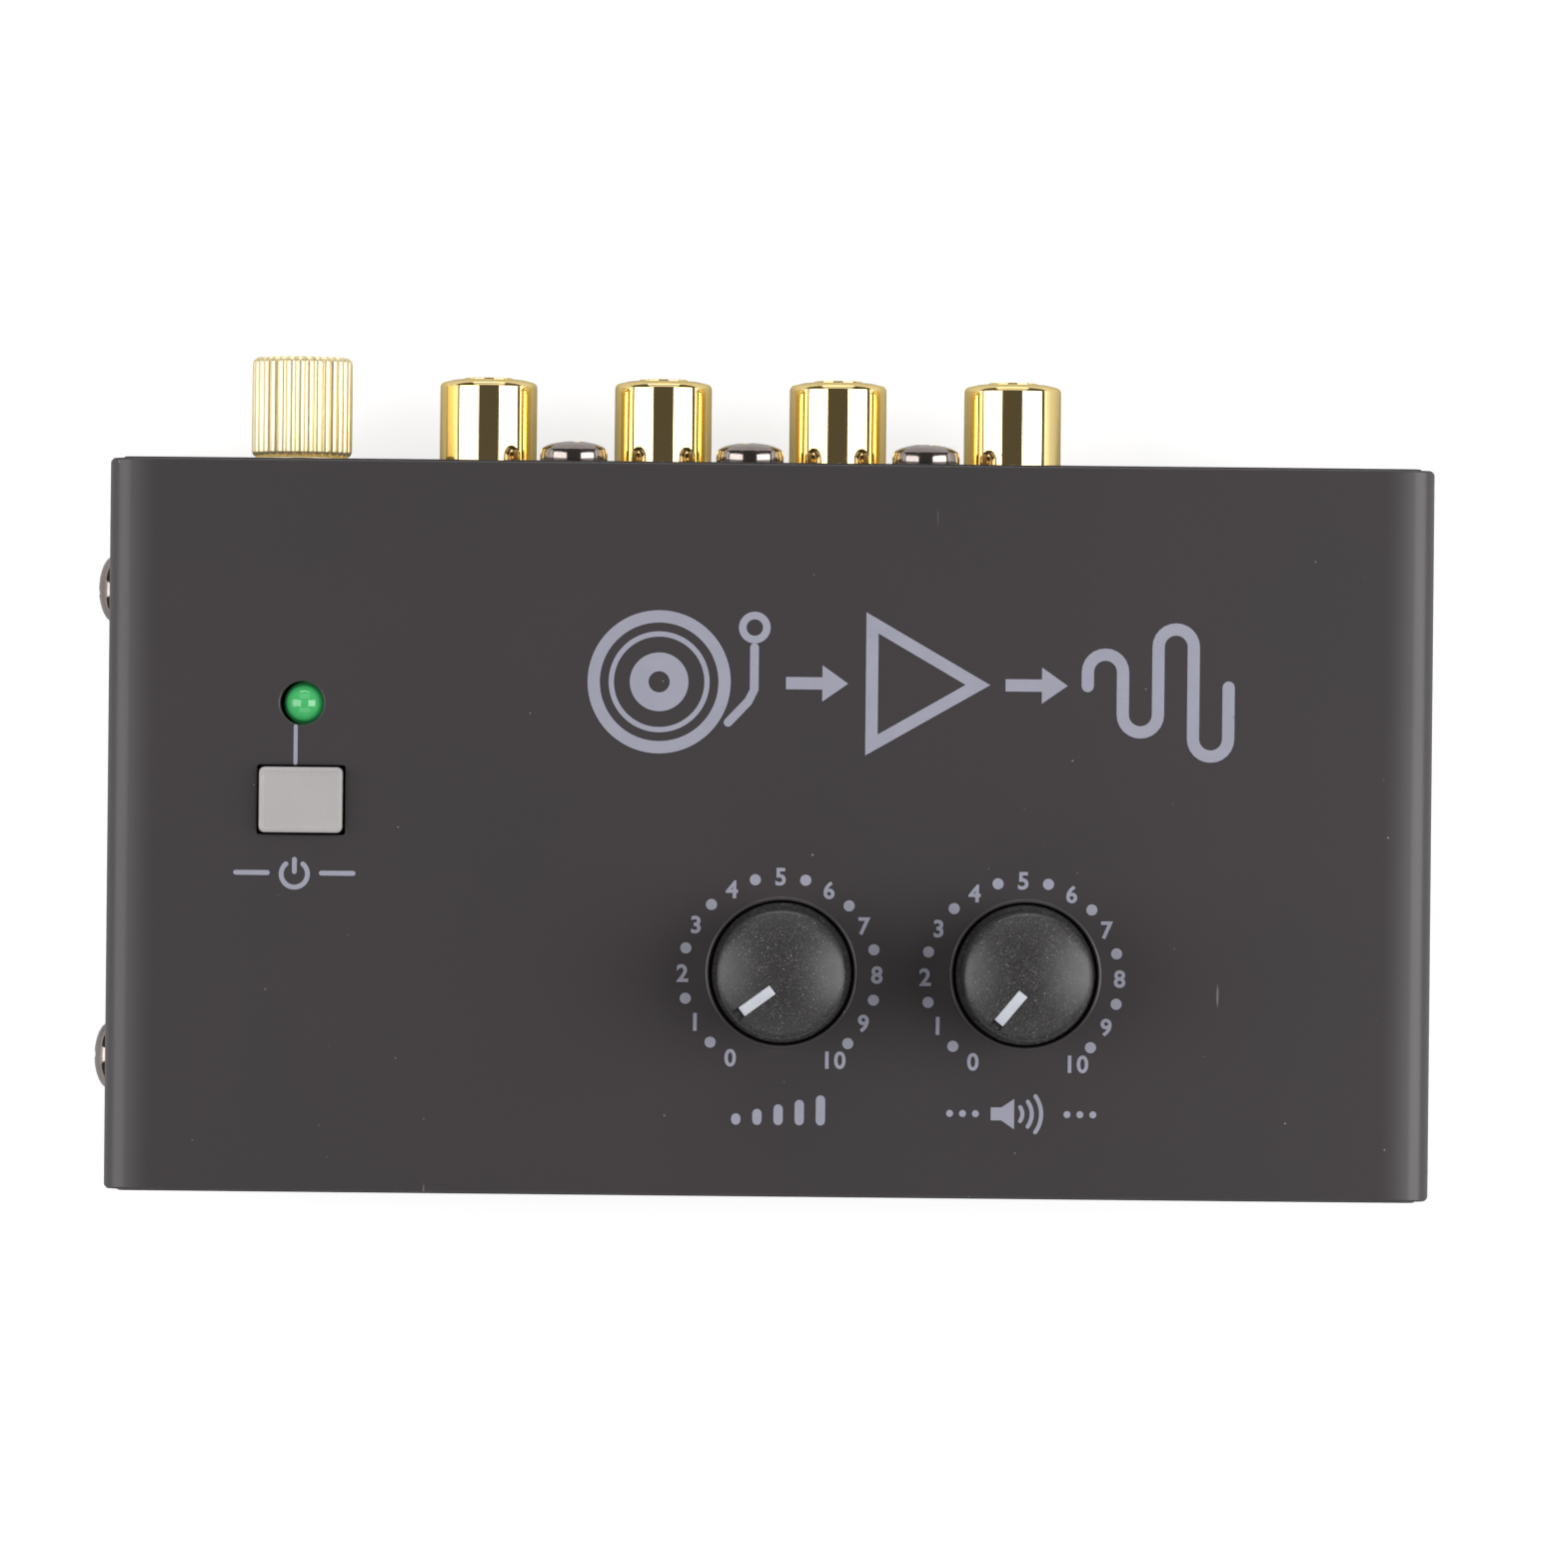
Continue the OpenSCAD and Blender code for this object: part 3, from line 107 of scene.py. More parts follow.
class Sheet:
    """Lays nodes in one node tree and links them as they are laid."""

    def __init__(self, tree: Tree) -> None:
        """Keeps the node tree to fill."""
        self.tree = tree

    def lay(self, kind: str, feeds: dict | None = None, **settings: object) -> bpy.types.Node:
        """Adds one node.

        Args:
            kind: the node's type name.
            feeds: input name or index to a value, or to the socket that feeds it.
            **settings: the node's own settings.

        Returns:
            The node.
        """
        node = self.tree.nodes.new(kind)
        for key, value in settings.items():
            setattr(node, key, value)
        for key, value in (feeds or {}).items():
            socket = node.inputs[key]
            if isinstance(value, Socket):
                self.tree.links.new(value, socket)
            else:
                socket.default_value = (*value, 1.0) if socket.type == "RGBA" and len(value) == 3 else value
        return node

    def sum(self, kind: str, *feeds: object, clamp: bool = False) -> Socket:
        """Adds a Math node over its operands, and holds its result between 0 and 1 if it is clamped."""
        return self.lay("ShaderNodeMath", dict(enumerate(feeds)), operation=kind, use_clamp=clamp).outputs[0]

    def times(self, first: object, second: object) -> Socket:
        """Multiplies two values."""
        return self.sum("MULTIPLY", first, second)

    def ramp(self, value: object, start: object, end: object, low: object = 0.0, high: object = 1.0) -> Socket:
        """Maps a value from start and end to low and high, and holds it between them."""
        feeds = {"Value": value, "From Min": start, "From Max": end, "To Min": low, "To Max": high}
        return self.lay("ShaderNodeMapRange", feeds).outputs[0]

    def blend(self, share: object, first: object, second: object) -> Socket:
        """Mixes two colours, the first at a share of 0 and the second at 1."""
        return self.lay("ShaderNodeMix", {0: share, 6: first, 7: second}, data_type="RGBA").outputs[2]

    def use(self, tree: Tree, place: Socket, **feeds: object) -> bpy.types.NodeOutputs:
        """Places a shared effect, and gives its outputs."""
        return self.lay("ShaderNodeGroup", {"Vector": place, **feeds}, node_tree=tree).outputs

    def close(self, **feeds: Socket) -> Tree:
        """Feeds a shared effect's outputs, and gives its tree."""
        self.lay("NodeGroupOutput", feeds)
        return self.tree


class Effect:
    """The surface effects that more than one finish uses, each a node group that is built once."""

    @staticmethod
    def start(name: str, outputs: tuple[str, ...], **inputs: float) -> tuple[Sheet, bpy.types.NodeOutputs]:
        """Opens a new group with a Vector input.

        Args:
            name: the group's name.
            outputs: the names of its value outputs.
            **inputs: its value inputs and their defaults.

        Returns:
            The sheet to lay nodes on, and the group's inputs.
        """
        tree = bpy.data.node_groups.new(name, "ShaderNodeTree")
        tree.interface.new_socket("Vector", in_out="INPUT", socket_type="NodeSocketVector")
        for key, default in inputs.items():
            tree.interface.new_socket(key, in_out="INPUT", socket_type="NodeSocketFloat").default_value = default
        for key in outputs:
            tree.interface.new_socket(key, in_out="OUTPUT", socket_type="NodeSocketFloat")
        sheet = Sheet(tree)
        return sheet, sheet.lay("NodeGroupInput").outputs

    @staticmethod
    @cache
    def grain() -> Tree:
        """Fine grain of a coat of paint or of a moulded face.

        Returns:
            A group with inputs Vector and Pitch, and outputs Tone and Height.
        """
        sheet, given = Effect.start("fine grain", ("Tone", "Height"), Pitch=0.3 * MM)
        scale = sheet.sum("DIVIDE", 1.0, given["Pitch"])
        feeds = {"Vector": given["Vector"], "Scale": scale}
        fine = sheet.lay("ShaderNodeTexNoise", feeds | {"Detail": 3.0, "Roughness": 0.6}).outputs[0]
        cell = sheet.lay("ShaderNodeTexVoronoi", feeds, feature="SMOOTH_F1").outputs[0]
        height = sheet.sum("ADD", sheet.times(fine, 0.6), sheet.times(cell, 0.5))
        return sheet.close(Tone=sheet.ramp(fine, 0.3, 0.7), Height=height)

    @staticmethod
    @cache
    def specks() -> Tree:
        """Scattered specks, such as dust and tiny nicks.

        Returns:
            A group with inputs Vector, Pitch, Share and Size, and the output Mask.
        """
        sheet, given = Effect.start("scattered specks", ("Mask",), Pitch=1.0 * MM, Share=0.3, Size=0.12)
        scale = sheet.sum("DIVIDE", 1.0, given["Pitch"])
        cell = sheet.lay("ShaderNodeTexVoronoi", {"Vector": given["Vector"], "Scale": scale}).outputs
        chance = sheet.lay("ShaderNodeSeparateColor", {0: cell["Color"]}).outputs
        chosen = sheet.sum("LESS_THAN", chance[0], given["Share"])
        reach = sheet.times(given["Size"], sheet.ramp(chance[1], 0.0, 1.0, 0.4, 1.0))
        spot = sheet.ramp(cell["Distance"], reach, sheet.times(reach, 0.55))
        return sheet.close(Mask=sheet.times(sheet.times(spot, chosen), sheet.ramp(chance[2], 0.0, 1.0, 0.35, 1.0)))

    @staticmethod
    @cache
    def clouds() -> Tree:
        """Broad soft patches, as handling and an uneven coat leave them.

        Returns:
            A group with inputs Vector and Pitch, and the output Tone.
        """
        sheet, given = Effect.start("soft clouds", ("Tone",), Pitch=20 * MM)
        feeds = {"Vector": given["Vector"], "Scale": sheet.sum("DIVIDE", 1.0, given["Pitch"])}
        wide = sheet.lay("ShaderNodeTexNoise", feeds | {"Detail": 4.0, "Distortion": 0.4})
        return sheet.close(Tone=sheet.ramp(wide.outputs[0], 0.32, 0.68))

    @staticmethod
    @cache
    def turning() -> Tree:
        """Fine rings that a lathe leaves round the Z axis of its vector.

        Returns:
            A group with inputs Vector and Pitch, and the output Height.
        """
        sheet, given = Effect.start("turning rings", ("Height",), Pitch=0.2 * MM)
        part = sheet.lay("ShaderNodeSeparateXYZ", {0: given["Vector"]}).outputs
        squares = sheet.sum("ADD", sheet.sum("POWER", part[0], 2.0), sheet.sum("POWER", part[1], 2.0))
        feeds = {"W": sheet.sum("DIVIDE", sheet.sum("SQRT", squares), given["Pitch"]), "Scale": 1.0, "Detail": 2.0}
        return sheet.close(Height=sheet.lay("ShaderNodeTexNoise", feeds, noise_dimensions="1D").outputs[0])

    @staticmethod
    @cache
    def ease() -> Tree:
        """The way a sheet starts to bow a little before its folds, on both sides of a middle line along Y.

        Returns:
            A group with inputs Vector, Middle, Flat, Run, Roll and Slope, and the output Height in metres.
        """
        sizes = {"Middle": 0.0, "Flat": 50 * MM, "Run": 3.0 * MM, "Roll": 1.0 * MM, "Slope": 0.17}
        sheet, given = Effect.start("fold ease", ("Height",), **sizes)
        across = sheet.lay("ShaderNodeSeparateXYZ", {0: given["Vector"]}).outputs[0]
        off = sheet.sum("ABSOLUTE", sheet.sum("SUBTRACT", across, given["Middle"]))
        past = sheet.sum("SUBTRACT", off, given["Flat"])
        before = sheet.ramp(past, sheet.times(given["Run"], -1.0), 0.0)
        after = sheet.ramp(past, 0.0, given["Roll"])
        rise = sheet.times(sheet.sum("POWER", before, 2.0), sheet.times(given["Run"], 0.5))
        curl = sheet.sum("SUBTRACT", after, sheet.times(sheet.sum("POWER", after, 2.0), 0.5))
        fall = sheet.sum("ADD", rise, sheet.times(curl, given["Roll"]))
        return sheet.close(Height=sheet.times(fall, sheet.times(given["Slope"], -1.0)))


@dataclass(frozen=True)
class Finish:
    """One surface finish: two tones, a grain, clouds, specks and hairlines over constant shader values."""

    name: str
    colour: Colour
    shade: Colour
    rough: Flat
    grain: Flat  # pitch and depth
    patch: float
    metal: float = 0.0
    speck: Colour = (0.5, 0.5, 0.5)
    dust: Point = (0.0, 1.2, 0.1)  # share, pitch and size
    hair: Flat = (0.0, 0.8)  # share and pitch
    haze: Flat = (0.0, 0.25)  # strength and pitch
    constants: tuple[tuple[str, object], ...] = ()

    def material(self) -> bpy.types.Material:
        """Builds the finish's material, or finds it again.

        Returns:
            The material.
        """
        found = bpy.data.materials.get(self.name)
        if found:
            return found
        made = bpy.data.materials.new(self.name)
        made.use_nodes = True
        made.node_tree.nodes.clear()
        sheet = Sheet(made.node_tree)
        place = sheet.lay("ShaderNodeTexCoord").outputs["Object"]
        colour, rough, height = self.layers(sheet, place)
        bump = sheet.lay("ShaderNodeBump", {"Height": height, "Strength": 1.0, "Distance": self.grain[1] * MM})
        feeds = {"Base Color": colour, "Roughness": rough, "Normal": bump.outputs[0], "Metallic": self.metal}
        shader = sheet.lay("ShaderNodeBsdfPrincipled", feeds | dict(self.constants) | self.extras(sheet, place))
        sheet.lay("ShaderNodeOutputMaterial", {"Surface": shader.outputs[0]})
        return made

    def layers(self, sheet: Sheet, place: Socket) -> tuple[Socket, Socket, Socket]:
        """Lays the grain, clouds, specks, haze and hairlines.

        Args:
            sheet: the material's sheet.
            place: the object coordinates.

        Returns:
            The colour, the roughness and the height.
        """
        tone, height = sheet.use(Effect.grain(), place, Pitch=self.grain[0] * MM)
        cloud = sheet.use(Effect.clouds(), place, Pitch=self.patch * MM)[0]
        mixed = sheet.sum("ADD", sheet.times(tone, 0.45), sheet.times(cloud, 0.55), clamp=True)
        colour = sheet.blend(mixed, self.colour, self.shade)
        rough = sheet.ramp(mixed, 0.0, 1.0, *self.rough)
        marks = []
        if self.dust[0]:
            share, pitch, size = self.dust
            spots = sheet.use(Effect.specks(), place, Pitch=pitch * MM, Share=share, Size=size)[0]
            height = sheet.sum("ADD", height, sheet.times(spots, 1.5))
            marks.append((spots, 0.25))
        if self.haze[0]:
            strength, pitch = self.haze
            film = sheet.use(Effect.grain(), place, Pitch=pitch * MM)[0]
            patch = sheet.use(Effect.clouds(), place, Pitch=8 * pitch * MM)[0]
            thin = sheet.ramp(patch, 0.0, 1.0, 0.3 * strength, strength)
            marks.append((sheet.times(sheet.ramp(film, 0.45, 1.0), thin), 0.3))
        for angle in (0.9, -0.5) if self.hair[0] else ():
            share, pitch = self.hair
            drawn = {"Vector": place, "Rotation": (0.0, 0.0, angle), "Scale": (1.0, 0.1, 0.25)}
            turned = sheet.lay("ShaderNodeMapping", drawn).outputs[0]
            marks.append((sheet.use(Effect.specks(), turned, Pitch=pitch * MM, Share=share, Size=0.07)[0], 0.2))
        for mask, dulled in marks:
            colour = sheet.blend(mask, colour, self.speck)
            rough = sheet.sum("ADD", rough, sheet.times(mask, dulled), clamp=True)
        return colour, rough, height

    def extras(self, sheet: Sheet, place: Socket) -> dict[str, object]:
        """Gives no further shader inputs: a finish with more to it gives its own."""
        return {}


@dataclass(frozen=True)
class TurnedFinish(Finish):
    """A finish with fine lathe rings about an axis through a point in metres."""

    centre: Point = (0.0, 0.0, 0.0)
    facing: Facing = Facing.UP
    ring: float = 0.2

    def layers(self, sheet: Sheet, place: Socket) -> tuple[Socket, Socket, Socket]:
        """Lays the usual layers and the rings.

        Args:
            sheet: the material's sheet.
            place: the object coordinates.

        Returns:
            The colour, the roughness and the height.
        """
        colour, rough, height = super().layers(sheet, place)
        moved = sheet.lay("ShaderNodeVectorMath", {0: place, 1: self.centre}, operation="SUBTRACT").outputs[0]
        back = tuple(-angle for angle in self.facing.value)
        turned = sheet.lay("ShaderNodeMapping", {"Vector": moved, "Rotation": back}).outputs[0]
        rings = sheet.use(Effect.turning(), turned, Pitch=self.ring * MM)[0]
        return colour, rough, sheet.sum("ADD", height, sheet.times(rings, 1.2))


@dataclass(frozen=True)
class FoldedFinish(Finish):
    """A coat on a sheet that bows a little before its folds to the left and the right."""

    across: float = 0.0
    flat: float = 50.0
    run: float = 2.3
    roll: float = 1.0
    slope: float = 0.15

    def layers(self, sheet: Sheet, place: Socket) -> tuple[Socket, Socket, Socket]:
        """Lays the usual layers and the bow.

        Args:
            sheet: the material's sheet.
            place: the object coordinates.

        Returns:
            The colour, the roughness and the height.
        """
        colour, rough, height = super().layers(sheet, place)
        sizes = {"Middle": self.across, "Flat": self.flat, "Run": self.run, "Roll": self.roll}
        feeds = {name: size * MM for name, size in sizes.items()}
        bow = sheet.use(Effect.ease(), place, **feeds, Slope=self.slope)[0]
        return colour, rough, sheet.sum("ADD", height, sheet.sum("DIVIDE", bow, self.grain[1] * MM))


@dataclass(frozen=True)
class PaintedGlowFinish(Finish):
    """Tinted epoxy with a painted glow, emission that stands in for the light it takes in, brighter towards its crown
    and darker at its foot as painted shade.
    """

    glow: Colour = (0.02, 0.5, 0.1)
    glow_z: Flat = (0.0, 1.0)
    # share of the painted glow left at the foot: painted shade
    foot_painted_shade: float = 0.25
    strength: float = 0.5

    def extras(self, sheet: Sheet, place: Socket) -> dict[str, object]:
        """Lays the painted inner glow, with painted shade towards the foot.

        Args:
            sheet: the material's sheet.
            place: the object coordinates.

        Returns:
            The shader's emission inputs.
        """
        height = sheet.lay("ShaderNodeSeparateXYZ", {0: place}).outputs[2]
        # painted shade: the glow dimmed towards the foot
        painted_foot_shade = tuple(part * self.foot_painted_shade for part in self.glow)
        share = sheet.ramp(height, self.glow_z[0] * MM, self.glow_z[1] * MM)
        return {"Emission Color": sheet.blend(share, painted_foot_shade, self.glow), "Emission Strength": self.strength}


PAINT = Finish("powder_coat", (0.053, 0.0445, 0.0485), (0.0425, 0.0385, 0.042), (0.32, 0.36), (0.16, 0.002), 26,
               speck=(0.34, 0.31, 0.3), dust=(0.6, 2.2, 0.05), hair=(0.12, 2.4),
               constants=(("Specular IOR Level", 0.55),))
INK = Finish("printed_ink", (0.36, 0.36, 0.44), (0.31, 0.312, 0.385), (0.45, 0.6), (0.12, 0.006), 3,
             speck=(0.16, 0.16, 0.18), dust=(0.12, 0.5, 0.18))
KNOB = Finish("knob_moulding", (0.025, 0.0225, 0.0235), (0.018, 0.0165, 0.017), (0.34, 0.4), (0.1, 0.004), 2.5,
              speck=(0.24, 0.23, 0.23), dust=(0.9, 0.3, 0.26), hair=(0.5, 1.3), haze=(0.36, 0.16),
              constants=(("Specular IOR Level", 0.65),))
POINTER = Finish("pointer_paint", (0.66, 0.68, 0.74), (0.52, 0.54, 0.6), (0.4, 0.5), (0.15, 0.012), 1.2)
BUTTON = Finish("button_plastic", (0.5, 0.475, 0.47), (0.44, 0.42, 0.415), (0.3, 0.38), (0.2, 0.003), 5,
                speck=(0.3, 0.28, 0.27), dust=(0.1, 1.1, 0.06))
GOLD = Finish("plated_gold", (1.0, 0.79, 0.37), (0.98, 0.75, 0.32), (0.03, 0.05), (0.4, 0.0002), 6, metal=1.0,
              speck=(0.6, 0.5, 0.3), dust=(0.5, 0.45, 0.13), hair=(0.3, 1.2),
              constants=(("Specular Tint", (0.85, 0.78, 0.55)),))
NUT_GOLD = Finish("nut_gold", (1.0, 0.88, 0.56), (0.98, 0.83, 0.48), (0.3, 0.38), (0.25, 0.002), 4, metal=0.85)
NICKEL = Finish("nickelled_steel", (0.37, 0.32, 0.3), (0.28, 0.24, 0.225), (0.07, 0.13), (0.3, 0.0015), 2.5, metal=1.0,
                speck=(0.25, 0.2, 0.18), dust=(0.12, 0.5, 0.14))
TINNED = Finish("tinned_metal", (0.64, 0.63, 0.6), (0.52, 0.51, 0.48), (0.22, 0.36), (0.2, 0.002), 3, metal=1.0)
CAN = Finish("stamped_can", (0.5, 0.5, 0.5), (0.4, 0.4, 0.41), (0.3, 0.42), (0.15, 0.002), 5, metal=1.0,
             hair=(0.03, 0.8))
RUBBER = Finish("foot_rubber", (0.021, 0.021, 0.022), (0.03, 0.029, 0.029), (0.7, 0.85), (0.35, 0.02), 4,
                speck=(0.12, 0.12, 0.12), dust=(0.2, 0.7, 0.09))
RESIST = Finish("solder_resist", (0.008, 0.085, 0.032), (0.014, 0.12, 0.05), (0.25, 0.38), (0.5, 0.003), 7,
                speck=(0.6, 0.6, 0.55), dust=(0.3, 2.2, 0.12))
RED = Finish("red_moulding", (0.5, 0.018, 0.014), (0.42, 0.012, 0.01), (0.22, 0.32), (0.3, 0.003), 3)
WHITE = Finish("white_moulding", (0.8, 0.79, 0.75), (0.72, 0.7, 0.66), (0.24, 0.34), (0.3, 0.003), 3)
BLACK = Finish("black_moulding", (0.014, 0.014, 0.015), (0.022, 0.022, 0.023), (0.38, 0.5), (0.22, 0.008), 6,
               speck=(0.12, 0.12, 0.12), dust=(0.12, 0.8, 0.08))
SLEEVE = Finish("shrink_sleeve", (0.016, 0.02, 0.055), (0.022, 0.027, 0.07), (0.22, 0.32), (0.8, 0.006), 4)
FILM = Finish("dipped_film", (0.4, 0.022, 0.016), (0.3, 0.014, 0.01), (0.2, 0.3), (0.9, 0.02), 3)
LACQUER = Finish("resistor_lacquer", (0.07, 0.22, 0.4), (0.1, 0.28, 0.46), (0.2, 0.3), (0.3, 0.006), 2)
SINK = Finish("anodised_sink", (0.02, 0.02, 0.022), (0.03, 0.03, 0.033), (0.34, 0.46), (0.15, 0.003), 6, metal=0.6)
# painted glow: the lens's emission stands in for the light it takes in, with painted shade at its foot
LENS = PaintedGlowFinish("lamp_epoxy_painted_glow", (0.085, 0.5, 0.165), (0.06, 0.42, 0.13), (0.08, 0.12), (0.5, 0.0006), 1.5,
                  glow=(0.04, 0.4, 0.12), glow_z=(27.0, 29.0), strength=0.4,
                  constants=(("Transmission Weight", 0.25), ("IOR", 1.5), ("Coat Weight", 0.8),
                             ("Coat Roughness", 0.04)))

SLOT_FINISH: dict[str, Finish] = {
    "case_paint": PAINT, "rubber": RUBBER, "board_green": RESIST, "bright_metal": TINNED, "screw_nickel": NICKEL,
    "gold_plate": GOLD, "red_plastic": RED, "white_plastic": WHITE, "black_plastic": BLACK, "pot_metal": CAN,
    "knob_plastic": KNOB, "pointer_white": POINTER, "button_grey": BUTTON, "lamp_green": LENS,
    "capacitor_sleeve": SLEEVE, "film_red": FILM, "resistor_blue": LACQUER, "sink_black": SINK,
}


# ---------- modelling ----------


class Work:
    """A piece on the bench, shaped by short runs of Blender's own operators."""

    nodes: dict[str, Piece] = {}
    merge: float = 0.002  # points nearer than this become one
    flat: float = 0.4  # faces that turn by fewer degrees than this become one
    sharp: float = 35.0  # edges sharper than this are rounded, in degrees

    def __init__(self, piece: Piece | None = None) -> None:
        """Takes up a piece, or else the one that Blender has just made."""
        self.piece = piece or bpy.context.object

    @staticmethod
    def clear() -> None:
        """Leaves edit mode and deselects everything."""
        if bpy.context.object and bpy.context.object.mode != "OBJECT":
            bpy.ops.object.mode_set(mode="OBJECT")
        bpy.ops.object.select_all(action="DESELECT")

    def pick(self, *others: Work) -> None:
        """Selects this piece, as the active one, and any others.

        Args:
            *others: the other pieces.
        """
        Work.clear()
        for work in (*others, self):
            work.piece.select_set(True)
        bpy.context.view_layer.objects.active = self.piece

    def apply(self) -> None:
        """Puts the piece's place, turn and size in its mesh."""
        self.pick()
        bpy.ops.object.transform_apply(location=True, rotation=True, scale=True)

    def edit(self) -> None:
        """Opens the piece in edit mode with all its points selected."""
        self.pick()
        bpy.ops.object.mode_set(mode="EDIT")
        bpy.ops.mesh.select_mode(type="VERT")
        bpy.ops.mesh.select_all(action="SELECT")

    def choose(self, kind: str, test: Callable[[object], bool]) -> None:
        """Selects some elements of the open piece.

        Args:
            kind: "VERT", "EDGE" or "FACE".
            test: tells of an element whether it is selected.
        """
        bpy.ops.mesh.select_mode(type=kind)
        bpy.ops.mesh.select_all(action="DESELECT")
        mesh = bmesh.from_edit_mesh(self.piece.data)
        for element in {"VERT": mesh.verts, "EDGE": mesh.edges, "FACE": mesh.faces}[kind]:
            element.select_set(bool(test(element)))
        bmesh.update_edit_mesh(self.piece.data)

    @staticmethod
    def widen(factor: float, height: float = 0.0) -> None:
        """Scales what is selected about the Z axis, at a height in metres."""
        bpy.ops.transform.resize(value=(factor, factor, 1.0), center_override=(0.0, 0.0, height))

    @staticmethod
    def close(merge: float = 0.0) -> None:
        """Turns the open piece's faces outwards and leaves edit mode.

        Args:
            merge: how near points are that become one.
        """
        bpy.ops.mesh.select_all(action="SELECT")
        if merge:
            bpy.ops.mesh.remove_doubles(threshold=merge * MM)
        bpy.ops.mesh.normals_make_consistent(inside=False)
        bpy.ops.object.mode_set(mode="OBJECT")

    @staticmethod
    def climb(profile: Line) -> None:
        """Extrudes the open piece's loop along a profile, and closes the piece.

        Args:
            profile: (radius, height) steps, the first where the loop is.
        """
        for (r0, z0), (r1, z1) in zip(profile, profile[1:]):
            bpy.ops.mesh.extrude_region_move(TRANSFORM_OT_translate={"value": (0.0, 0.0, (z1 - z0) * MM)})
            Work.widen(r1 / r0, z1 * MM)
        Work.close(Work.merge)

    @staticmethod
    def turned(profile: Line, sides: int, ring: bool = False) -> Work:
        """Turns a round body about Z by extruding and scaling a circle step by step.

        Args:
            profile: (radius, height) steps, lower end first.
            sides: how many sides the circle has.
            ring: whether the profile comes back to its start, as a tube's does.

        Returns:
            The new piece.
        """
        Work.clear()
        radius, height = profile[0]
        bpy.ops.mesh.primitive_circle_add(vertices=sides, radius=radius * MM, location=(0.0, 0.0, height * MM),
                                          fill_type="NOTHING" if ring else "NGON")
        work = Work()
        work.apply()
        work.edit()
        Work.climb(profile)
        return work

    @staticmethod
    def block(size: Point, at: Point, turn: float = 0.0) -> Work:
        """Adds a box with its place and turn in its mesh.

        Args:
            size: its width, depth and height.
            at: its middle.
            turn: its turn about Z in radians.

        Returns:
            The new piece.
        """
        Work.clear()
        bpy.ops.mesh.primitive_cube_add(size=1.0, location=Vector(at) * MM, rotation=(0.0, 0.0, turn))
        work = Work()
        work.piece.scale = Vector(size) * MM
        work.apply()
        return work

    @staticmethod
    def refined(node: str, width: float = 0.0, segments: int = 2, shade: float = 30.0) -> Work:
        """Copies a built node, merges its loose faces and rounds its edges.

        Args:
            node: the node's name.
            width: how wide the rounding is, or 0 for none.
            segments: how many faces the rounding has.
            shade: the sharpness in degrees from which an edge is shaded sharp.

        Returns:
            The refined copy.
        """
        work = Work(bpy.data.objects.new(node + "_fine", Work.nodes[node].data.copy()))
        bpy.context.scene.collection.objects.link(work.piece)
        work.pick()
        bpy.ops.mesh.customdata_custom_splitnormals_clear()
        work.edit()
        bpy.ops.mesh.remove_doubles(threshold=Work.merge / 2 * MM)
        bpy.ops.mesh.dissolve_limited(angle_limit=math.radians(Work.flat))
        Work.close()
        if width:
            work.round_edges(width, segments)
        work.smooth(shade)
        return work

    def place(self, at: Point, turn: Point = Facing.UP.value) -> None:
        """Turns the piece, moves its origin to a point in metres, and puts both in its mesh."""
        self.piece.rotation_euler, self.piece.location = turn, at
        self.apply()

    def shape(self, kind: str, **settings: object) -> None:
        """Gives the piece one modifier and applies it.

        Args:
            kind: the modifier's type.
            **settings: the modifier's settings.
        """
        self.pick()
        modifier = self.piece.modifiers.new(kind.lower(), kind)
        for key, value in settings.items():
            setattr(modifier, key, value)
        bpy.ops.object.modifier_apply(modifier=modifier.name)

    def round_edges(self, width: float, segments: int = 2) -> None:
        """Rounds the piece's sharp edges to a width, with some faces each."""
        self.shape("BEVEL", width=width * MM, segments=segments, limit_method="ANGLE",
                   angle_limit=math.radians(Work.sharp), miter_outer="MITER_ARC", use_clamp_overlap=True)

    def cut(self, tool: Work) -> None:
        """Cuts a tool out of the piece and clears the tool away."""
        self.shape("BOOLEAN", operation="DIFFERENCE", object=tool.piece, solver="EXACT")
        tool.scrap()

    def scrap(self) -> None:
        """Clears the piece away."""
        bpy.data.objects.remove(self.piece)

    def smooth(self, angle: float) -> None:
        """Shades the piece smooth, apart from its edges that are sharper than an angle in degrees.

        Args:
            angle: the angle.
        """
        self.pick()
        bpy.ops.mesh.customdata_custom_splitnormals_clear()
        bpy.ops.object.shade_smooth_by_angle(angle=math.radians(angle))
        self.shape("WEIGHTED_NORMAL", keep_sharp=True, weight=80)

    def twin(self, shift: Point) -> Work:
        """Copies the piece with a mesh of its own.

        Args:
            shift: how far the copy is moved, in metres.

        Returns:
            The copy.
        """
        self.pick()
        bpy.ops.object.duplicate(linked=False)
        copy = Work()
        copy.place(shift)
        return copy

    def hand_over(self, name: str, body: Body, slot: str, *nodes: str, finish: Finish | None = None) -> None:
        """Names the finished piece, dresses it and lets it ride on its body.

        Args:
            name: the piece's name.
            body: the body that it moves with.
            slot: the record's material slot.
            *nodes: the nodes that it stands for.
            finish: its finish, or None for the slot's own.
        """
        piece = self.piece
        piece.name = name
        piece.data.name = name
        piece.data.materials.clear()
        piece.data.materials.append((finish or SLOT_FINISH[slot]).material())
        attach(piece, body.value)
        if nodes:
            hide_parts(*nodes)
        LOG.info("%s: %d faces, rides on %s", name, len(piece.data.polygons), body.value)


def middle(node: str) -> Vector:
    """Gives the middle of a node's box in metres."""
    low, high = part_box(node)
    return (low + high) / 2


def span(node: str, axis: int) -> Flat:
    """Gives where a node's box starts and ends along an axis, in millimetres."""
    low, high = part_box(node)
    return low[axis] / MM, high[axis] / MM


def half_width(node: str, axis: int = 0) -> float:
    """Gives half the size of a node's box along an axis, in millimetres."""
    low, high = span(node, axis)
    return (high - low) / 2


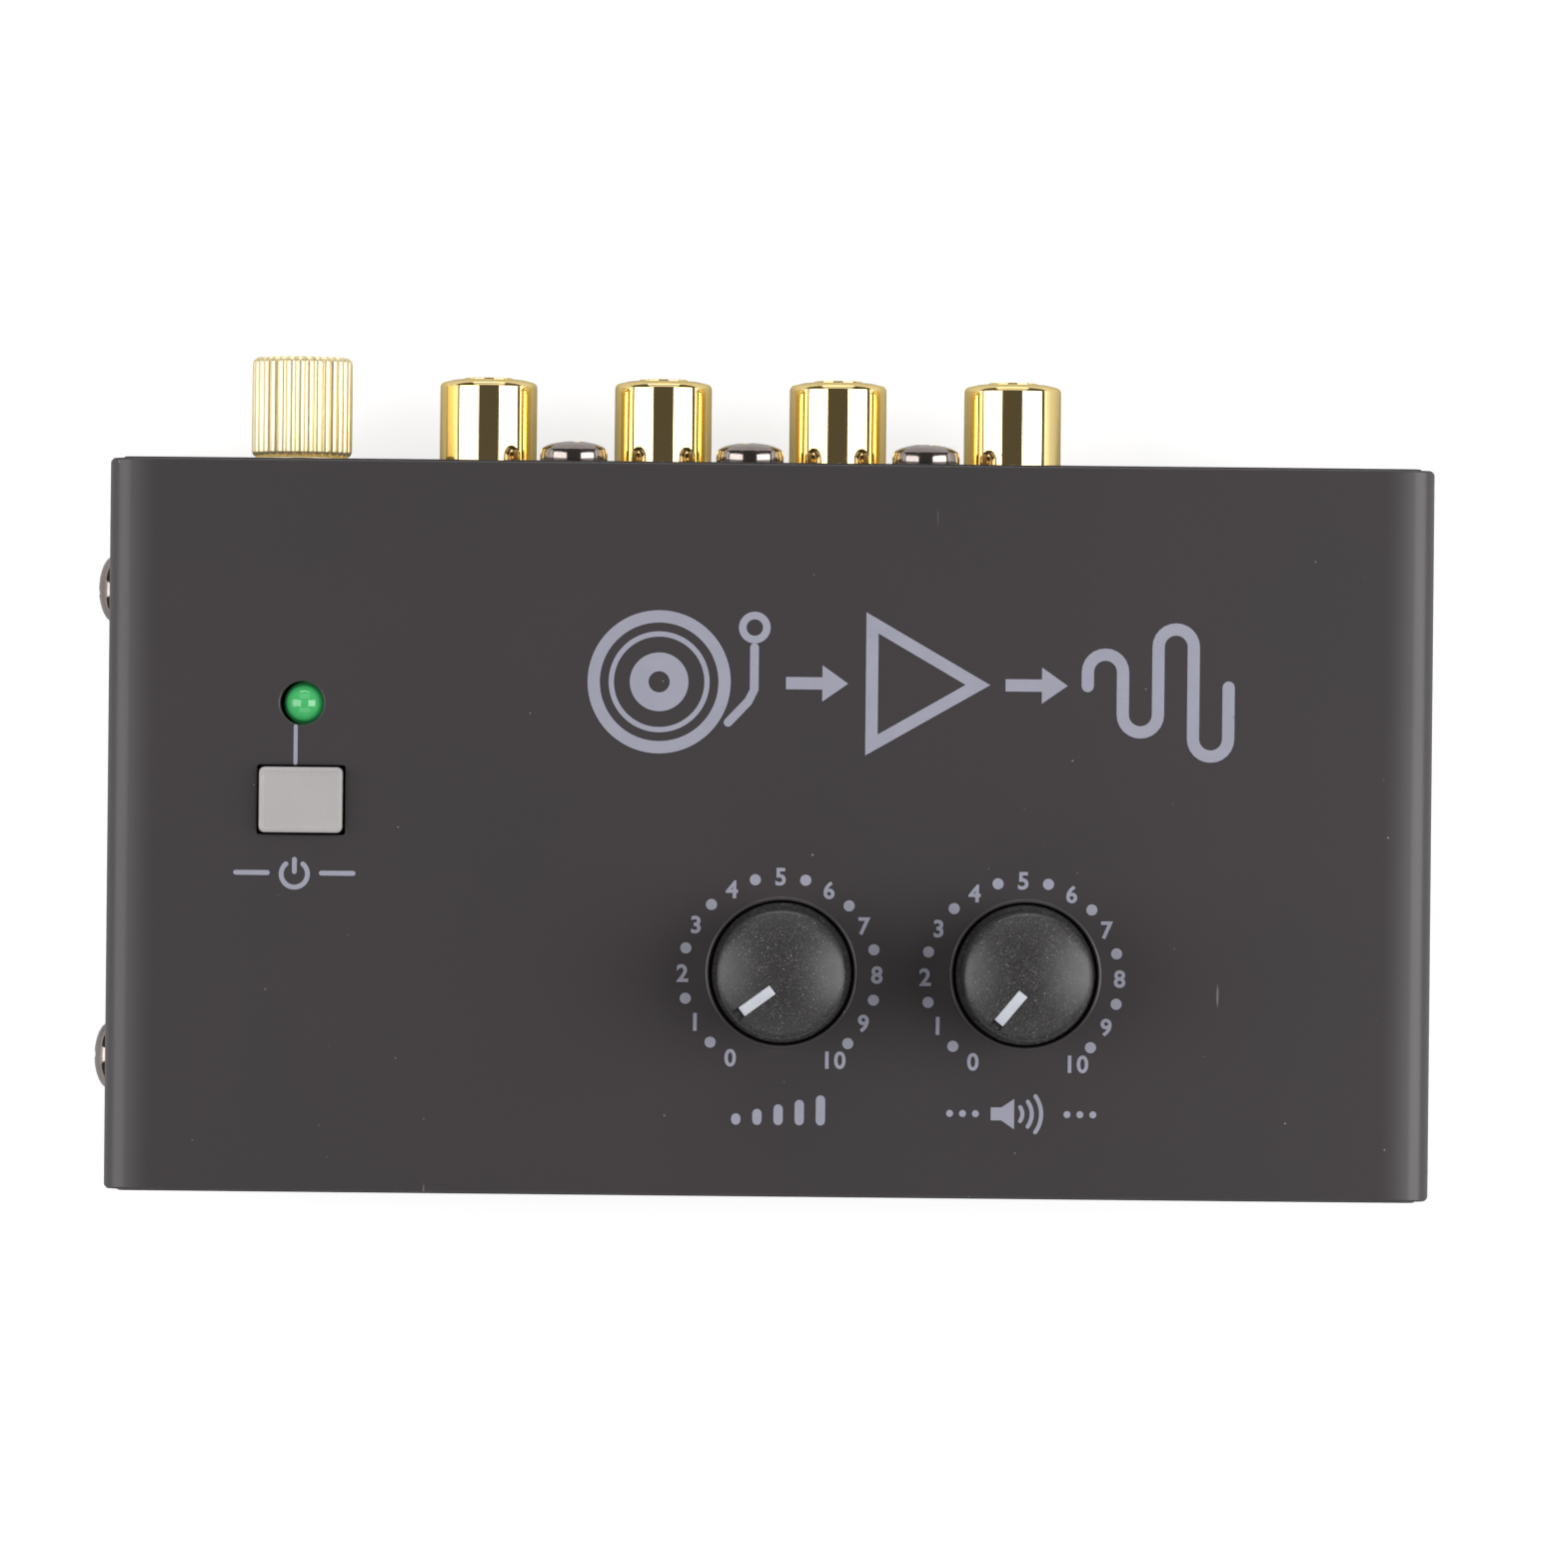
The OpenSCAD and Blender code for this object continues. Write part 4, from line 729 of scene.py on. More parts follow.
def bend(angles: Iterable[float], wide: float, tall: float, x: float = 0.0, y: float = 0.0) -> Line:
    """Gives the points of a round or elliptical bend at angles in degrees about its middle."""
    return [(x + wide * math.cos(a), y + tall * math.sin(a)) for a in map(math.radians, angles)]


# ---------- case ----------


@dataclass
class Case:
    """The folded cover, the base tray, the feet and the two side screws."""

    cover_edge: float = 0.2
    tray_edge: float = 0.12
    fold_r: float = 1.9
    foot_recess: Flat = (2.6, 0.9)  # radius and depth
    foot_bore: float = 0.8
    sole: tuple[Flat, ...] = ((-0.75, 0.0), (-0.3, 0.12), (-0.07, 0.42), (0.0, 0.8))
    dial_gap: float = 0.665
    bead: tuple[Flat, ...] = ((0.0, -0.3), (0.0, -0.04), (0.03, 0.05), (0.1, 0.09), (0.18, 0.09), (0.26, 0.05),
                              (0.34, -0.01), (0.34, -0.3), (0.0, -0.3))
    screw_turns: tuple[tuple[str, float], ...] = (("front", 12.0), ("rear", 58.0))

    def build(self) -> None:
        """Builds every piece of the case."""
        left, right = span("cover", 0)
        fold = {"name": "cover_coat", "across": (left + right) / 2, "flat": (right - left) / 2 - self.fold_r}
        coat = FoldedFinish(**asdict(PAINT) | fold)
        cover, tray = Work.refined("cover", self.cover_edge, segments=3), Work.refined("base_tray", self.tray_edge)
        cover.hand_over("cover_shell", Body.CASE, "case_paint", "cover", finish=coat)
        tray.hand_over("tray", Body.CASE, "case_paint", "base_tray")
        self.feet()
        self.beads()
        for end, turn in self.screw_turns:
            spot = middle(f"cover_screw_{end}")
            PanScrew(facing=Facing.LEFT, turn=turn).build(f"cover_screw_{end}", (left * MM, spot.y, spot.z))

    def beads(self) -> None:
        """Turns the bead of coating that builds up round each dial's hole."""
        bore, face = half_width("level_knob") + self.dial_gap, span("cover", 2)[1]
        for dial in ("level", "volume"):
            bead = Work.turned([(bore + out, face + up) for out, up in self.bead], 128, ring=True)
            bead.smooth(60)
            bead.place((*middle(dial + "_knob").xy, 0.0))
            bead.hand_over(dial + "_hole_bead", Body.CASE, "case_paint")

    def feet(self) -> None:
        """Turns one rubber foot with a screw recess and copies it to the four corners."""
        radius, (low, high) = half_width("foot_front_left"), span("foot_front_left", 2)
        height, (recess, depth) = high - low, self.foot_recess
        foot = Work.turned([(self.foot_bore, depth), (recess, depth), (recess + 0.12, 0.25), (recess + 0.4, 0.0),
                            *((radius + out, up) for out, up in self.sole), (radius, height - 0.1),
                            (radius - 0.1, height), (self.foot_bore, height)], 64)
        foot.smooth(40)
        for node in ("foot_front_left", "foot_front_right", "foot_rear_left", "foot_rear_right"):
            foot.twin((*middle(node).xy, low * MM)).hand_over(node + "_rubber", Body.CASE, "rubber", node)
        foot.scrap()


@dataclass
class PanScrew:
    """A domed cross-head screw with its shank."""

    facing: Facing = Facing.REAR
    turn: float = 0.0
    radius: float = 2.9
    height: float = 2.1
    rim: float = 0.8
    shank: Flat = (1.4, 6.0)  # radius and length
    slot: Point = (3.3, 0.82, 2.3)
    slot_taper: float = 0.72

    def build(self, node: str, seat: Point) -> None:
        """Models the screw and puts it on its seat.

        Args:
            node: the node that it stands for.
            seat: the middle of the head's underside, in metres.
        """
        r, h, rim, (shank, length) = self.radius, self.height, self.rim, self.shank
        dome = bend((14, 28, 42, 56, 70, 80), r, h - rim, y=rim)
        piece = Work.turned([(shank - 0.25, -length), (shank, 0.3 - length), (shank, -0.02), (shank + 0.05, 0.0),
                             (r - 0.12, 0.0), (r - 0.03, 0.06), (r, 0.18), (r, rim * 0.8), *dome, (0.2, h)], 64)
        for angle in (self.turn, self.turn + 90):
            tool = Work.block(self.slot, (0.0, 0.0, h), math.radians(angle))
            tool.edit()
            tool.choose("VERT", lambda vert: vert.co.z < h * MM)
            Work.widen(self.slot_taper)
            bpy.ops.object.mode_set(mode="OBJECT")
            piece.cut(tool)
        piece.smooth(32)
        piece.place(seat, self.facing.value)
        piece.hand_over(node + "_head", Body.CASE, "screw_nickel", node)


# ---------- printing ----------


@dataclass
class Print:
    """Thin ink marks on a flat face, drawn as flat outlines about an origin and set up as one piece."""

    face: float
    origin: Flat = (0.0, 0.0)
    rear: bool = False
    thickness: float = 0.03
    sunk: float = 0.004
    bold: float = 0.028
    spacing: float = 1.1
    figure_h: float = 0.74  # a figure's height at a text size of 1
    marks: list[Work] = field(default_factory=list)

    def outlines(self, *loops: Line) -> None:
        """Fills closed outlines, with an outline inside another as its hole.

        Args:
            *loops: the outlines' points.
        """
        Work.clear()
        bpy.ops.curve.primitive_bezier_circle_add(radius=MM)
        curve = bpy.context.object.data
        curve.dimensions = "2D"
        curve.fill_mode = "BOTH"
        curve.extrude = self.thickness / 2 * MM
        curve.splines.clear()
        for loop in loops:
            spline = curve.splines.new("POLY")
            spline.points.add(len(loop) - 1)
            for point, (x, y) in zip(spline.points, loop):
                point.co = ((self.origin[0] + x) * MM, (self.origin[1] + y) * MM, 0.0, 1.0)
            spline.use_cyclic_u = True
        self.keep()

    def keep(self) -> None:
        """Makes the curve or text that was just drawn a mesh, and keeps it."""
        Work().pick()
        bpy.ops.object.convert(target="MESH")
        self.marks.append(Work())
        self.marks[-1].apply()

    def hoop(self, x: float, y: float, radius: float, width: float) -> None:
        """Prints a ring whose line runs inside its radius."""
        self.outlines(*(bend(range(0, 360, 5), r, r, x, y) for r in (radius, radius - width)))

    def disc(self, x: float, y: float, radius: float) -> None:
        """Prints a dot."""
        self.outlines(bend([7.5 * k for k in range(48)], radius, radius, x, y))

    def bar(self, x: float, y: float, half: float, width: float) -> None:
        """Prints a level line of half a length to each side."""
        self.stroke([(x - half, y), (x + half, y)], width)

    def arc(self, x: float, y: float, radius: float, width: float, start: float, end: float) -> None:
        """Prints part of a circle, with its ends in degrees from the +X side."""
        steps = max(8, int(abs(end - start) / 8))
        self.stroke(bend([start + (end - start) * k / steps for k in range(steps + 1)], radius, radius, x, y), width)

    def stroke(self, line: Line, width: float) -> None:
        """Prints a line of one width with round ends.

        Args:
            line: its points.
            width: its width.
        """
        sides: tuple[Line, Line] = ([], [])
        for k, (x, y) in enumerate(line):
            (ax, ay), (bx, by) = line[max(k - 1, 0)], line[min(k + 1, len(line) - 1)]
            scale = width / 2 / math.hypot(bx - ax, by - ay)
            for side, way in zip(sides, (1, -1)):
                side.append((x - way * (by - ay) * scale, y + way * (bx - ax) * scale))
        left, right = sides
        self.outlines(left + self.cap(line[-1], left[-1]) + right[::-1] + self.cap(line[0], right[0]))

    @staticmethod
    def cap(end: Flat, start: Flat) -> Line:
        """Gives the points between two sides of a line's end, clockwise from where the first side stops."""
        reach, first = math.dist(end, start), math.degrees(math.atan2(start[1] - end[1], start[0] - end[0]))
        return bend([first - 30 * k for k in range(1, 6)], reach, reach, *end)

    def digits(self, text: str, x: float, y: float, height: float) -> None:
        """Prints a number.

        Args:
            text: the number.
            x: its middle across.
            y: its middle up.
            height: how tall a digit is.
        """
        Work.clear()
        bpy.ops.object.text_add()
        drawn = bpy.context.object.data
        drawn.body = text
        drawn.offset = self.bold
        drawn.space_character = self.spacing
        drawn.extrude = self.thickness / 2 / height * self.figure_h
        drawn.resolution_u = 4
        self.keep()
        mark = self.marks[-1]
        (left, right), (low, high) = [(min(side), max(side)) for side in
                                      ([vert.co[k] for vert in mark.piece.data.vertices] for k in (0, 1))]
        scale = height * MM / (high - low)
        mark.piece.scale = (scale, scale, scale)
        mark.place(((self.origin[0] + x) * MM - scale * (left + right) / 2,
                    (self.origin[1] + y) * MM - scale * (low + high) / 2, 0.0))

    def gather(self) -> Work:
        """Joins the marks and lays them on their face.

        Returns:
            The joined marks.
        """
        last = self.marks.pop()
        last.pick(*self.marks)
        if self.marks:
            bpy.ops.object.join()
        last.edit()
        Work.close(Work.merge / 2)
        bpy.ops.object.shade_flat()
        lift = self.face + (self.thickness / 2 - self.sunk) * MM
        if self.rear:
            last.place((0.0, lift, 0.0), (math.pi / 2, 0.0, math.pi))
        else:
            last.place((0.0, 0.0, lift))
        return last


@dataclass
class CoverPrint:
    """The print on top of the cover, placed from the cover's middle: the two dial scales and the plain marks."""

    level_middle: Flat = (1.01, -12.28)
    volume_middle: Flat = (21.68, -12.42)
    zero: float = 240.0
    step: float = 30.0
    digit_reach: float = 8.28
    digit_h: float = 1.52
    ten_shift: Flat = (0.68, -0.12)
    dot_reach: float = 8.29
    dot_r: float = 0.475
    power_middle: Flat = (-40.4, -4.08)
    power_line: float = 0.42
    lamp_line_ends: Flat = (9.36, 12.48)
    lamp_line_w: float = 0.34
    level_mark_middle: Flat = (1.0, -23.9)
    volume_mark_middle: Flat = (21.1, -24.0)
    chain_middle: Flat = (11.4, 12.5)
    chain_line: float = 1.05
    wave_turn: float = 1.5
    wave_reaches: tuple[float, ...] = (1.2, 2.4, 3.4, 4.4)

    def build(self) -> None:
        """Prints every mark on the cover."""
        scale = self.scale()
        shift = [(there - here) * MM for there, here in zip(self.volume_middle, self.level_middle)]
        copy = scale.twin((*shift, 0.0))
        self.lay(scale, "level_scale_print")
        self.lay(copy, "volume_scale_print")
        for draw, at in ((self.power_mark, self.power_middle), (self.lamp_line, self.power_middle),
                         (self.level_mark, self.level_mark_middle), (self.volume_mark, self.volume_mark_middle),
                         (self.signal_chain, self.chain_middle)):
            ink = self.ink(at)
            draw(ink)
            self.lay(ink.gather(), draw.__name__ + "_print")

    @staticmethod
    def ink(at: Flat) -> Print:
        """Starts a print on the cover's top, about an origin."""
        return Print(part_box("cover")[1].z, at)

    @staticmethod
    def lay(piece: Work, name: str) -> None:
        """Moves printed marks from the origin to the cover's middle and hands them over under a name."""
        piece.place((*middle("cover").xy, 0.0))
        piece.hand_over(name, Body.CASE, "pointer_white", finish=INK)

    def scale(self) -> Work:
        """Prints one dial's numbers, and a dot after each but the last.

        Returns:
            The printed scale.
        """
        ink = self.ink(self.level_middle)
        angles = [self.zero - self.step * number for number in range(11)]
        for number, (x, y) in enumerate(bend(angles, self.digit_reach, self.digit_reach)):
            dx, dy = self.ten_shift if number == 10 else (0.0, 0.0)
            ink.digits(str(number), x + dx, y + dy, self.digit_h)
        for x, y in bend([angle - self.step / 2 for angle in angles[:-1]], self.dot_reach, self.dot_reach):
            ink.disc(x, y, self.dot_r)
        return ink.gather()

    def lamp_line(self, ink: Print) -> None:
        """Prints the thin line from the lamp to the button."""
        ink.stroke([(0.0, end) for end in self.lamp_line_ends], self.lamp_line_w)

    def power_mark(self, ink: Print) -> None:
        """Prints the common on and off mark between two bars.

        Args:
            ink: the print.
        """
        ink.arc(0.0, -0.1, 1.12, self.power_line, 130, 410)
        ink.stroke([(0.0, 0.1), (0.0, 1.15)], self.power_line)
        for side in (-1, 1):
            ink.bar(side * 3.65, 0.0, side * 1.35, self.power_line)

    def level_mark(self, ink: Print) -> None:
        """Prints five bars that grow to the right."""
        for k, x in enumerate((-3.6, -1.8, 0.0, 1.8, 3.6)):
            ink.stroke([(x, -0.85), (x, 0.4 * k - 0.67)], 0.8)

    def volume_mark(self, ink: Print) -> None:
        """Prints a loudspeaker with three waves, between two rows of dots.

        Args:
            ink: the print.
        """
        ink.outlines([(-2.0, -0.55), (-2.0, 0.55), (-1.1, 0.55), (0.0, 1.3), (0.0, -1.3), (-1.1, -0.55)])
        for reach in (1.0, 1.8, 2.6):
            ink.arc(-0.3, 0.0, reach, 0.36, -36, 36)
        for x in (-5.5, -4.4, -3.3, 4.5, 5.6, 6.7):
            ink.disc(x, 0.0, 0.3)

    def signal_chain(self, ink: Print) -> None:
        """Prints a record and its arm, an amplifier's triangle and a rounded wave, joined by arrows.

        Args:
            ink: the print.
        """
        w = self.chain_line
        for radius, width in ((6.1, w), (4.3, 0.45), (2.5, 1.6)):
            ink.hoop(-20.9, 0.0, radius, width)
        ink.hoop(-12.8, 4.7, 1.35, 0.65)
        ink.stroke([(-12.8, 3.0), (-12.8, -0.6), (-13.3, -1.6), (-15.0, -3.4)], 0.75)
        for x in (-10.1, 8.6):
            ink.outlines([(x, -w / 2), (x, w / 2), (x + 3.1, w / 2), (x + 3.1, 1.55), (x + 5.3, 0.0), (x + 3.1, -1.55),
                          (x + 3.1, -w / 2)])
        ink.outlines([(-3.3, 6.1), (7.3, 0.0), (-3.3, -6.1)], [(w - 3.3, 4.3), (5.2, 0.0), (w - 3.3, -4.3)])
        x, turn = 15.6, self.wave_turn
        line = [(x, 0.0)]
        for k, reach in enumerate(self.wave_reaches):
            up = 1 - k % 2 * 2
            line += bend(range(180, -1, -15), turn, up * turn, x + (2 * k + 1) * turn, up * reach)
        line.append((x + 2 * len(self.wave_reaches) * turn, 0.0))
        ink.stroke(line, w)


@dataclass
class RearPrint:
    """The plain marks on the rear wall, over the sockets, the terminal and the inlet."""

    mark_z: float = 24.6
    arch_z: float = 25.8
    line: float = 0.35

    def build(self) -> None:
        """Prints the rear wall's marks, which read from behind."""
        ink, w = Print(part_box("base_tray")[1].y, rear=True), self.line
        for k, tip in enumerate((-1, -1, 1, 1), 1):
            ink.origin = self.over(f"socket_shell_{k}", self.mark_z)
            ink.outlines([(-1.0, -tip * 0.8), (1.0, -tip * 0.8), (0.0, tip * 0.9)])
            ink.bar(0.0, -1.5, 1.2, w)
        ink.origin = self.over("earth_nut", self.mark_z)
        ink.stroke([(0.0, 1.6), (0.0, 0.0)], w)
        for k, half in enumerate((1.5, 0.95, 0.4)):
            ink.bar(0.0, -0.65 * k, half, w)
        ink.origin = self.over("inlet_pin", self.mark_z)
        ink.bar(0.0, 0.4, 1.5, w)
        for x in (-1.15, 0.0, 1.15):
            ink.bar(x, -0.5, 0.25, w)
        ink.origin = self.over("output_body", self.arch_z)
        ink.arc(0.0, 0.0, 1.15, w, 0, 180)
        for x in (-1.15, 1.15):
            ink.stroke([(x, 0.0), (x, -0.6)], 0.6)
        ink.gather().hand_over("rear_marks_print", Body.CASE, "pointer_white", finish=INK)

    @staticmethod
    def over(node: str, height: float) -> Flat:
        """Gives the point at a height over a node's middle, as seen from behind."""
        return -middle(node).x / MM, height


# ---------- dials ----------


@dataclass
class Dial:
    """One dial: a knob with a crowned top and a hidden skirt, and its white pointer."""

    name: str
    body: Body
    turn: float
    roll: tuple[Flat, ...] = ((0.02, 82.0), (0.04, 66.0), (0.08, 50.0), (0.2, 36.0), (0.25, 28.0), (0.26, 20.0))
    taper: float = 0.03
    crown: float = 0.75
    crown_steps: tuple[float, ...] = (0.97, 0.93, 0.86, 0.78, 0.69, 0.6, 0.5, 0.4, 0.3, 0.2, 0.1, 0.03)
    skirt: float = 0.5
    skirt_top: float = 29.55
    wall: float = 1.1
    hollow: Flat = (2.9, 2.0)  # radius and depth
    slot_w: float = 0.95
    slot_in: float = 1.3
    slot_side: float = 0.55
    slot_depth: float = 1.3
    pointer_out: float = 4.55
    pointer_h: float = 1.0
    pointer_steps: int = 8
    pointer_edge: float = 0.07
    play: float = 0.01  # between the pointer and its slot, and under the crown

    def __post_init__(self) -> None:
        """Measures the built knob."""
        knob = self.name + "_knob"
        self.middle = (*middle(knob).xy, 0.0)
        self.foot, self.top = span(knob, 2)
        self.radius = half_width(knob)
        self.lip = self.radius - self.taper - sum(run for run, _ in self.roll)

    def build(self) -> None:
        """Builds the knob and its pointer."""
        cap = Work.turned(self.profile(), 128)
        cap.cut(self.slot_tool())
        cap.smooth(24)
        cap.place(self.middle)
        cap.hand_over(self.name + "_cap", self.body, "knob_plastic", self.name + "_knob")
        self.needle().hand_over(self.name + "_needle", self.body, "pointer_white", self.name + "_pointer")

    def crown_z(self, reach: float) -> float:
        """Gives the height of the crowned top at a distance from the axis."""
        bow = (self.lip ** 2 + self.crown ** 2) / (2 * self.crown)
        return self.top - bow + math.sqrt(bow ** 2 - reach ** 2)

    def profile(self) -> Line:
        """Gives the knob's outline from its foot to the middle of its crown.

        Returns:
            The (radius, height) steps.
        """
        r, foot, wide, (hollow, depth) = self.radius, self.foot, self.radius + self.skirt, self.hollow
        rises = [(run, run * math.tan(math.radians(slope))) for run, slope in self.roll]
        reach, height = r - self.taper, self.top - self.crown - sum(rise for _, rise in rises)
        steps = [(hollow, foot + depth), (r - self.wall, foot + depth), (r - self.wall, foot), (wide - 0.12, foot),
                 (wide, foot + 0.12), (wide, self.skirt_top - 0.1), (wide - 0.1, self.skirt_top), (r, self.skirt_top),
                 (reach, height)]
        for run, rise in rises:
            reach, height = reach - run, height + rise
            steps.append((reach, height))
        return steps + [(self.lip * share, self.crown_z(self.lip * share)) for share in self.crown_steps]

    def bar(self, width: float, outer: float, low: float, high: float) -> Work:
        """Adds a block along the pointer's line before it is turned.

        Args:
            width: its width.
            outer: where it ends, from the axis.
            low: its underside.
            high: its top.

        Returns:
            The block.
        """
        inner = self.slot_in
        return Work.block((width, outer - inner, high - low), (-self.slot_side, (outer + inner) / 2, (low + high) / 2))

    def slot_tool(self) -> Work:
        """Makes the tool that cuts the pointer's slot and goes past the knob's rim.

        Returns:
            The tool in its place about the axis.
        """
        tool = self.bar(self.slot_w, self.radius + self.skirt, self.top - self.slot_depth, self.top + self.slot_depth)
        tool.place((0.0, 0.0, 0.0), (0.0, 0.0, math.radians(self.turn)))
        return tool

    def needle(self) -> Work:
        """Models the pointer, a painted bar whose top follows the knob's crown.

        Returns:
            The bar in its place.
        """
        length, steps, waist = self.pointer_out - self.slot_in, self.pointer_steps, self.top - self.pointer_h / 2
        bar = self.bar(self.slot_w - 2 * self.play, self.pointer_out, self.top - self.pointer_h, self.top)
        bar.edit()
        bar.choose("EDGE", lambda edge: abs(edge.verts[0].co.y - edge.verts[1].co.y) > length / 2 * MM)
        bpy.ops.mesh.subdivide(number_cuts=steps - 1)
        for reach in (self.slot_in + length * step / steps for step in range(steps + 1)):
            bar.choose("VERT", lambda vert: abs(vert.co.y / MM - reach) < length / 20 and vert.co.z / MM > waist)
            drop = self.crown_z(math.hypot(reach, self.slot_side)) - self.top - self.play
            bpy.ops.transform.translate(value=(0.0, 0.0, drop * MM))
        bpy.ops.object.mode_set(mode="OBJECT")
        bar.round_edges(self.pointer_edge)
        bar.smooth(30)
        bar.place(self.middle, (0.0, 0.0, math.radians(self.turn)))
        return bar


# ---------- power switch and lamp ----------


@dataclass
class PowerSwitch:
    """The square button over its latching switch."""

    corner: float = 0.5
    travel: float = 2.5
    steps: tuple[Flat, ...] = ((0.03, 0.08), (0.06, 0.07), (0.08, 0.04), (0.2, 0.015), (0.045, -0.045), (0.04, -0.005))

    def build(self) -> None:
        """Shapes the button cap from a block with rounded corners and a stepped, rounded top."""
        low, high = (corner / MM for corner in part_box("button_cap"))
        size = high - low
        size.z -= sum(depth for _, depth in self.steps if depth > 0)
        cap = Work.block(tuple(size), (*((low + high) / 2).xy, low.z + size.z / 2))
        cap.edit()
        cap.choose("EDGE", lambda edge: abs(edge.verts[0].co.z - edge.verts[1].co.z) > size.z / 2 * MM)
        bpy.ops.mesh.bevel(offset=self.corner * MM, segments=5, affect="EDGES")
        cap.choose("FACE", lambda face: face.normal.z > 0.9)
        for thickness, depth in self.steps:
            bpy.ops.mesh.inset(thickness=thickness * MM, depth=depth * MM)
        Work.close()
        cap.smooth(40)
        cap.hand_over("button_top", Body.BUTTON, "button_grey", "button_cap")
        self.spring()

    def spring(self) -> None:
        """Copies the return spring and gives the copy a mesh of its own."""
        coil = Work.refined("switch_spring", shade=60)
        coil.hand_over("switch_spring_coil", Body.CASE, "bright_metal", "switch_spring")
        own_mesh(coil.piece)


@dataclass
class Lamp:
    """The round lamp, a domed lens on a flange."""

    flange: Flat = (0.28, 1.0)  # width and height
    soft: float = 0.08

    def build(self) -> None:
        """Turns the lens."""
        (foot, top), outer, (width, height) = span("lamp_lens", 2), half_width("lamp_lens"), self.flange
        r, step, soft = outer - width, foot + height, self.soft
        dome = bend(range(0, 86, 7), r, r, y=top - r)
        lens = Work.turned([(outer - soft, foot), (outer, foot + soft), (outer, step - soft), (outer - soft, step),
                            (r + 0.05, step), (r, step + 0.05), *dome, (0.04, top)], 64)
        lens.smooth(40)
        lens.place((*middle("lamp_lens").xy, 0.0))
        lens.hand_over("lamp_dome", Body.CASE, "lamp_green", "lamp_lens")


# ---------- rear panel ----------


@dataclass
class SocketRow:
    """The four phono sockets and the three screws between them."""

    wall: float = 0.6
    flange: float = 0.4
    neck: float = 0.5
    neck_depth: float = 0.05
    tip_round: float = 0.5
    lip_r: float = 2.9
    lip_t: float = 0.4
    lip_rise: float = 0.2
    boss_h: float = 0.1
    recess: float = 0.2
    contact_edge: float = 0.07
    leaf_cut: Point = (5.2, 7.0, 0.35)
    screw_drop: float = 0.1
    screw_rim: float = 0.9
    screw_turns: tuple[tuple[str, float], ...] = (("left", 20.0), ("middle", 66.0), ("right", 38.0))

    def build(self) -> None:
        """Turns one shell, one insulator and one contact, and copies them along the row."""
        seat, spot = span("base_tray", 1)[1], middle("socket_shell_1")
        for stem, word, profile, sides, slots in (
                ("socket_shell", "sleeve", self.shell_profile(seat), 96, ("gold_plate",) * 4),
                ("socket_insulator", "ring", self.insulator_profile(), 72, ("red_plastic", "white_plastic") * 2)):
            piece = Work.turned(profile, sides, ring=True)
            piece.smooth(28)
            piece.place((spot.x, 0.0, spot.z), Facing.REAR.value)
            self.copies(piece, stem, word, slots)
        contact = Work.refined("socket_contact_1", self.contact_edge)
        for turn in (45, -45):
            tool = Work.block(self.leaf_cut, (0.0, 0.0, 0.0))
            tool.place((spot.x, span("socket_contact_1", 1)[1] * MM, spot.z), (0.0, math.radians(turn), 0.0))
            contact.cut(tool)
        contact.smooth(30)
        self.copies(contact, "socket_contact", "tulip", ("gold_plate",) * 4)
        for side, turn in self.screw_turns:
            node = f"panel_screw_{side}"
            spot = middle(node)
            screw = PanScrew(turn=turn, height=span(node, 1)[1] - seat - self.screw_drop, rim=self.screw_rim)
            screw.build(node, (spot.x, seat * MM, spot.z))

    def copies(self, piece: Work, stem: str, word: str, slots: tuple[str, ...]) -> None:
        """Copies a piece to every socket.

        Args:
            piece: the piece at the first socket.
            stem: the stem of the nodes that the copies stand for.
            word: the last word of the pieces' names.
            slots: the material slot of each copy.
        """
        for k, slot in enumerate(slots, 1):
            node = f"{stem}_{k}"
            copy = piece.twin((middle(node).x - middle(stem + "_1").x, 0.0, 0.0))
            copy.hand_over(f"{node}_{word}", Body.CASE, slot, node)
        piece.scrap()

    def shell_profile(self, seat: float) -> Line:
        """Gives a shell's closed outline.

        Args:
            seat: where the rear wall's face is.

        Returns:
            The (radius, height) steps.
        """
        root, (back, tip) = half_width("socket_shell_1"), span("socket_shell_1", 1)
        r, turn, lip = root - self.flange, self.tip_round, self.lip_r
        bore, front, neck, rim = r - self.wall, seat - self.recess, r - self.neck_depth, tip - self.lip_rise
        edge = bend(range(0, 78, 7), turn, turn, r - turn, rim - turn)
        floor = rim - self.lip_t
        return [(bore, back), (root, back), (root, front - 0.08), (root - 0.08, front), (neck, front),
                (neck, front + self.neck - 0.05), (r, front + self.neck), (r, rim - turn - 0.4), *edge,
                (lip + 0.16, tip - 0.03), (lip + 0.06, tip - 0.01), (lip, tip - 0.07), (lip, floor),
                (bore, floor - 0.01), (bore, back)]

    def insulator_profile(self) -> Line:
        """Gives an insulator's closed outline: a body inside the shell and a boss in its opening.

        Returns:
            The (radius, height) steps.
        """
        outer, (back, face) = half_width("socket_insulator_1"), span("socket_insulator_1", 1)
        tip, inner = min(face, span("socket_shell_1", 1)[1]), half_width("socket_contact_1") + 0.02
        step = tip - self.boss_h - self.lip_rise - self.lip_t - 0.02
        boss = self.lip_r - 0.02
        return [(inner, back), (outer, back), (outer, step - 0.05), (outer - 0.05, step), (boss, step),
                (boss, tip - 0.14), (boss - 0.04, tip - 0.07), (boss - 0.12, tip - 0.02), (boss - 0.24, tip),
                (inner + 0.1, tip), (inner, tip - 0.1), (inner, back)]


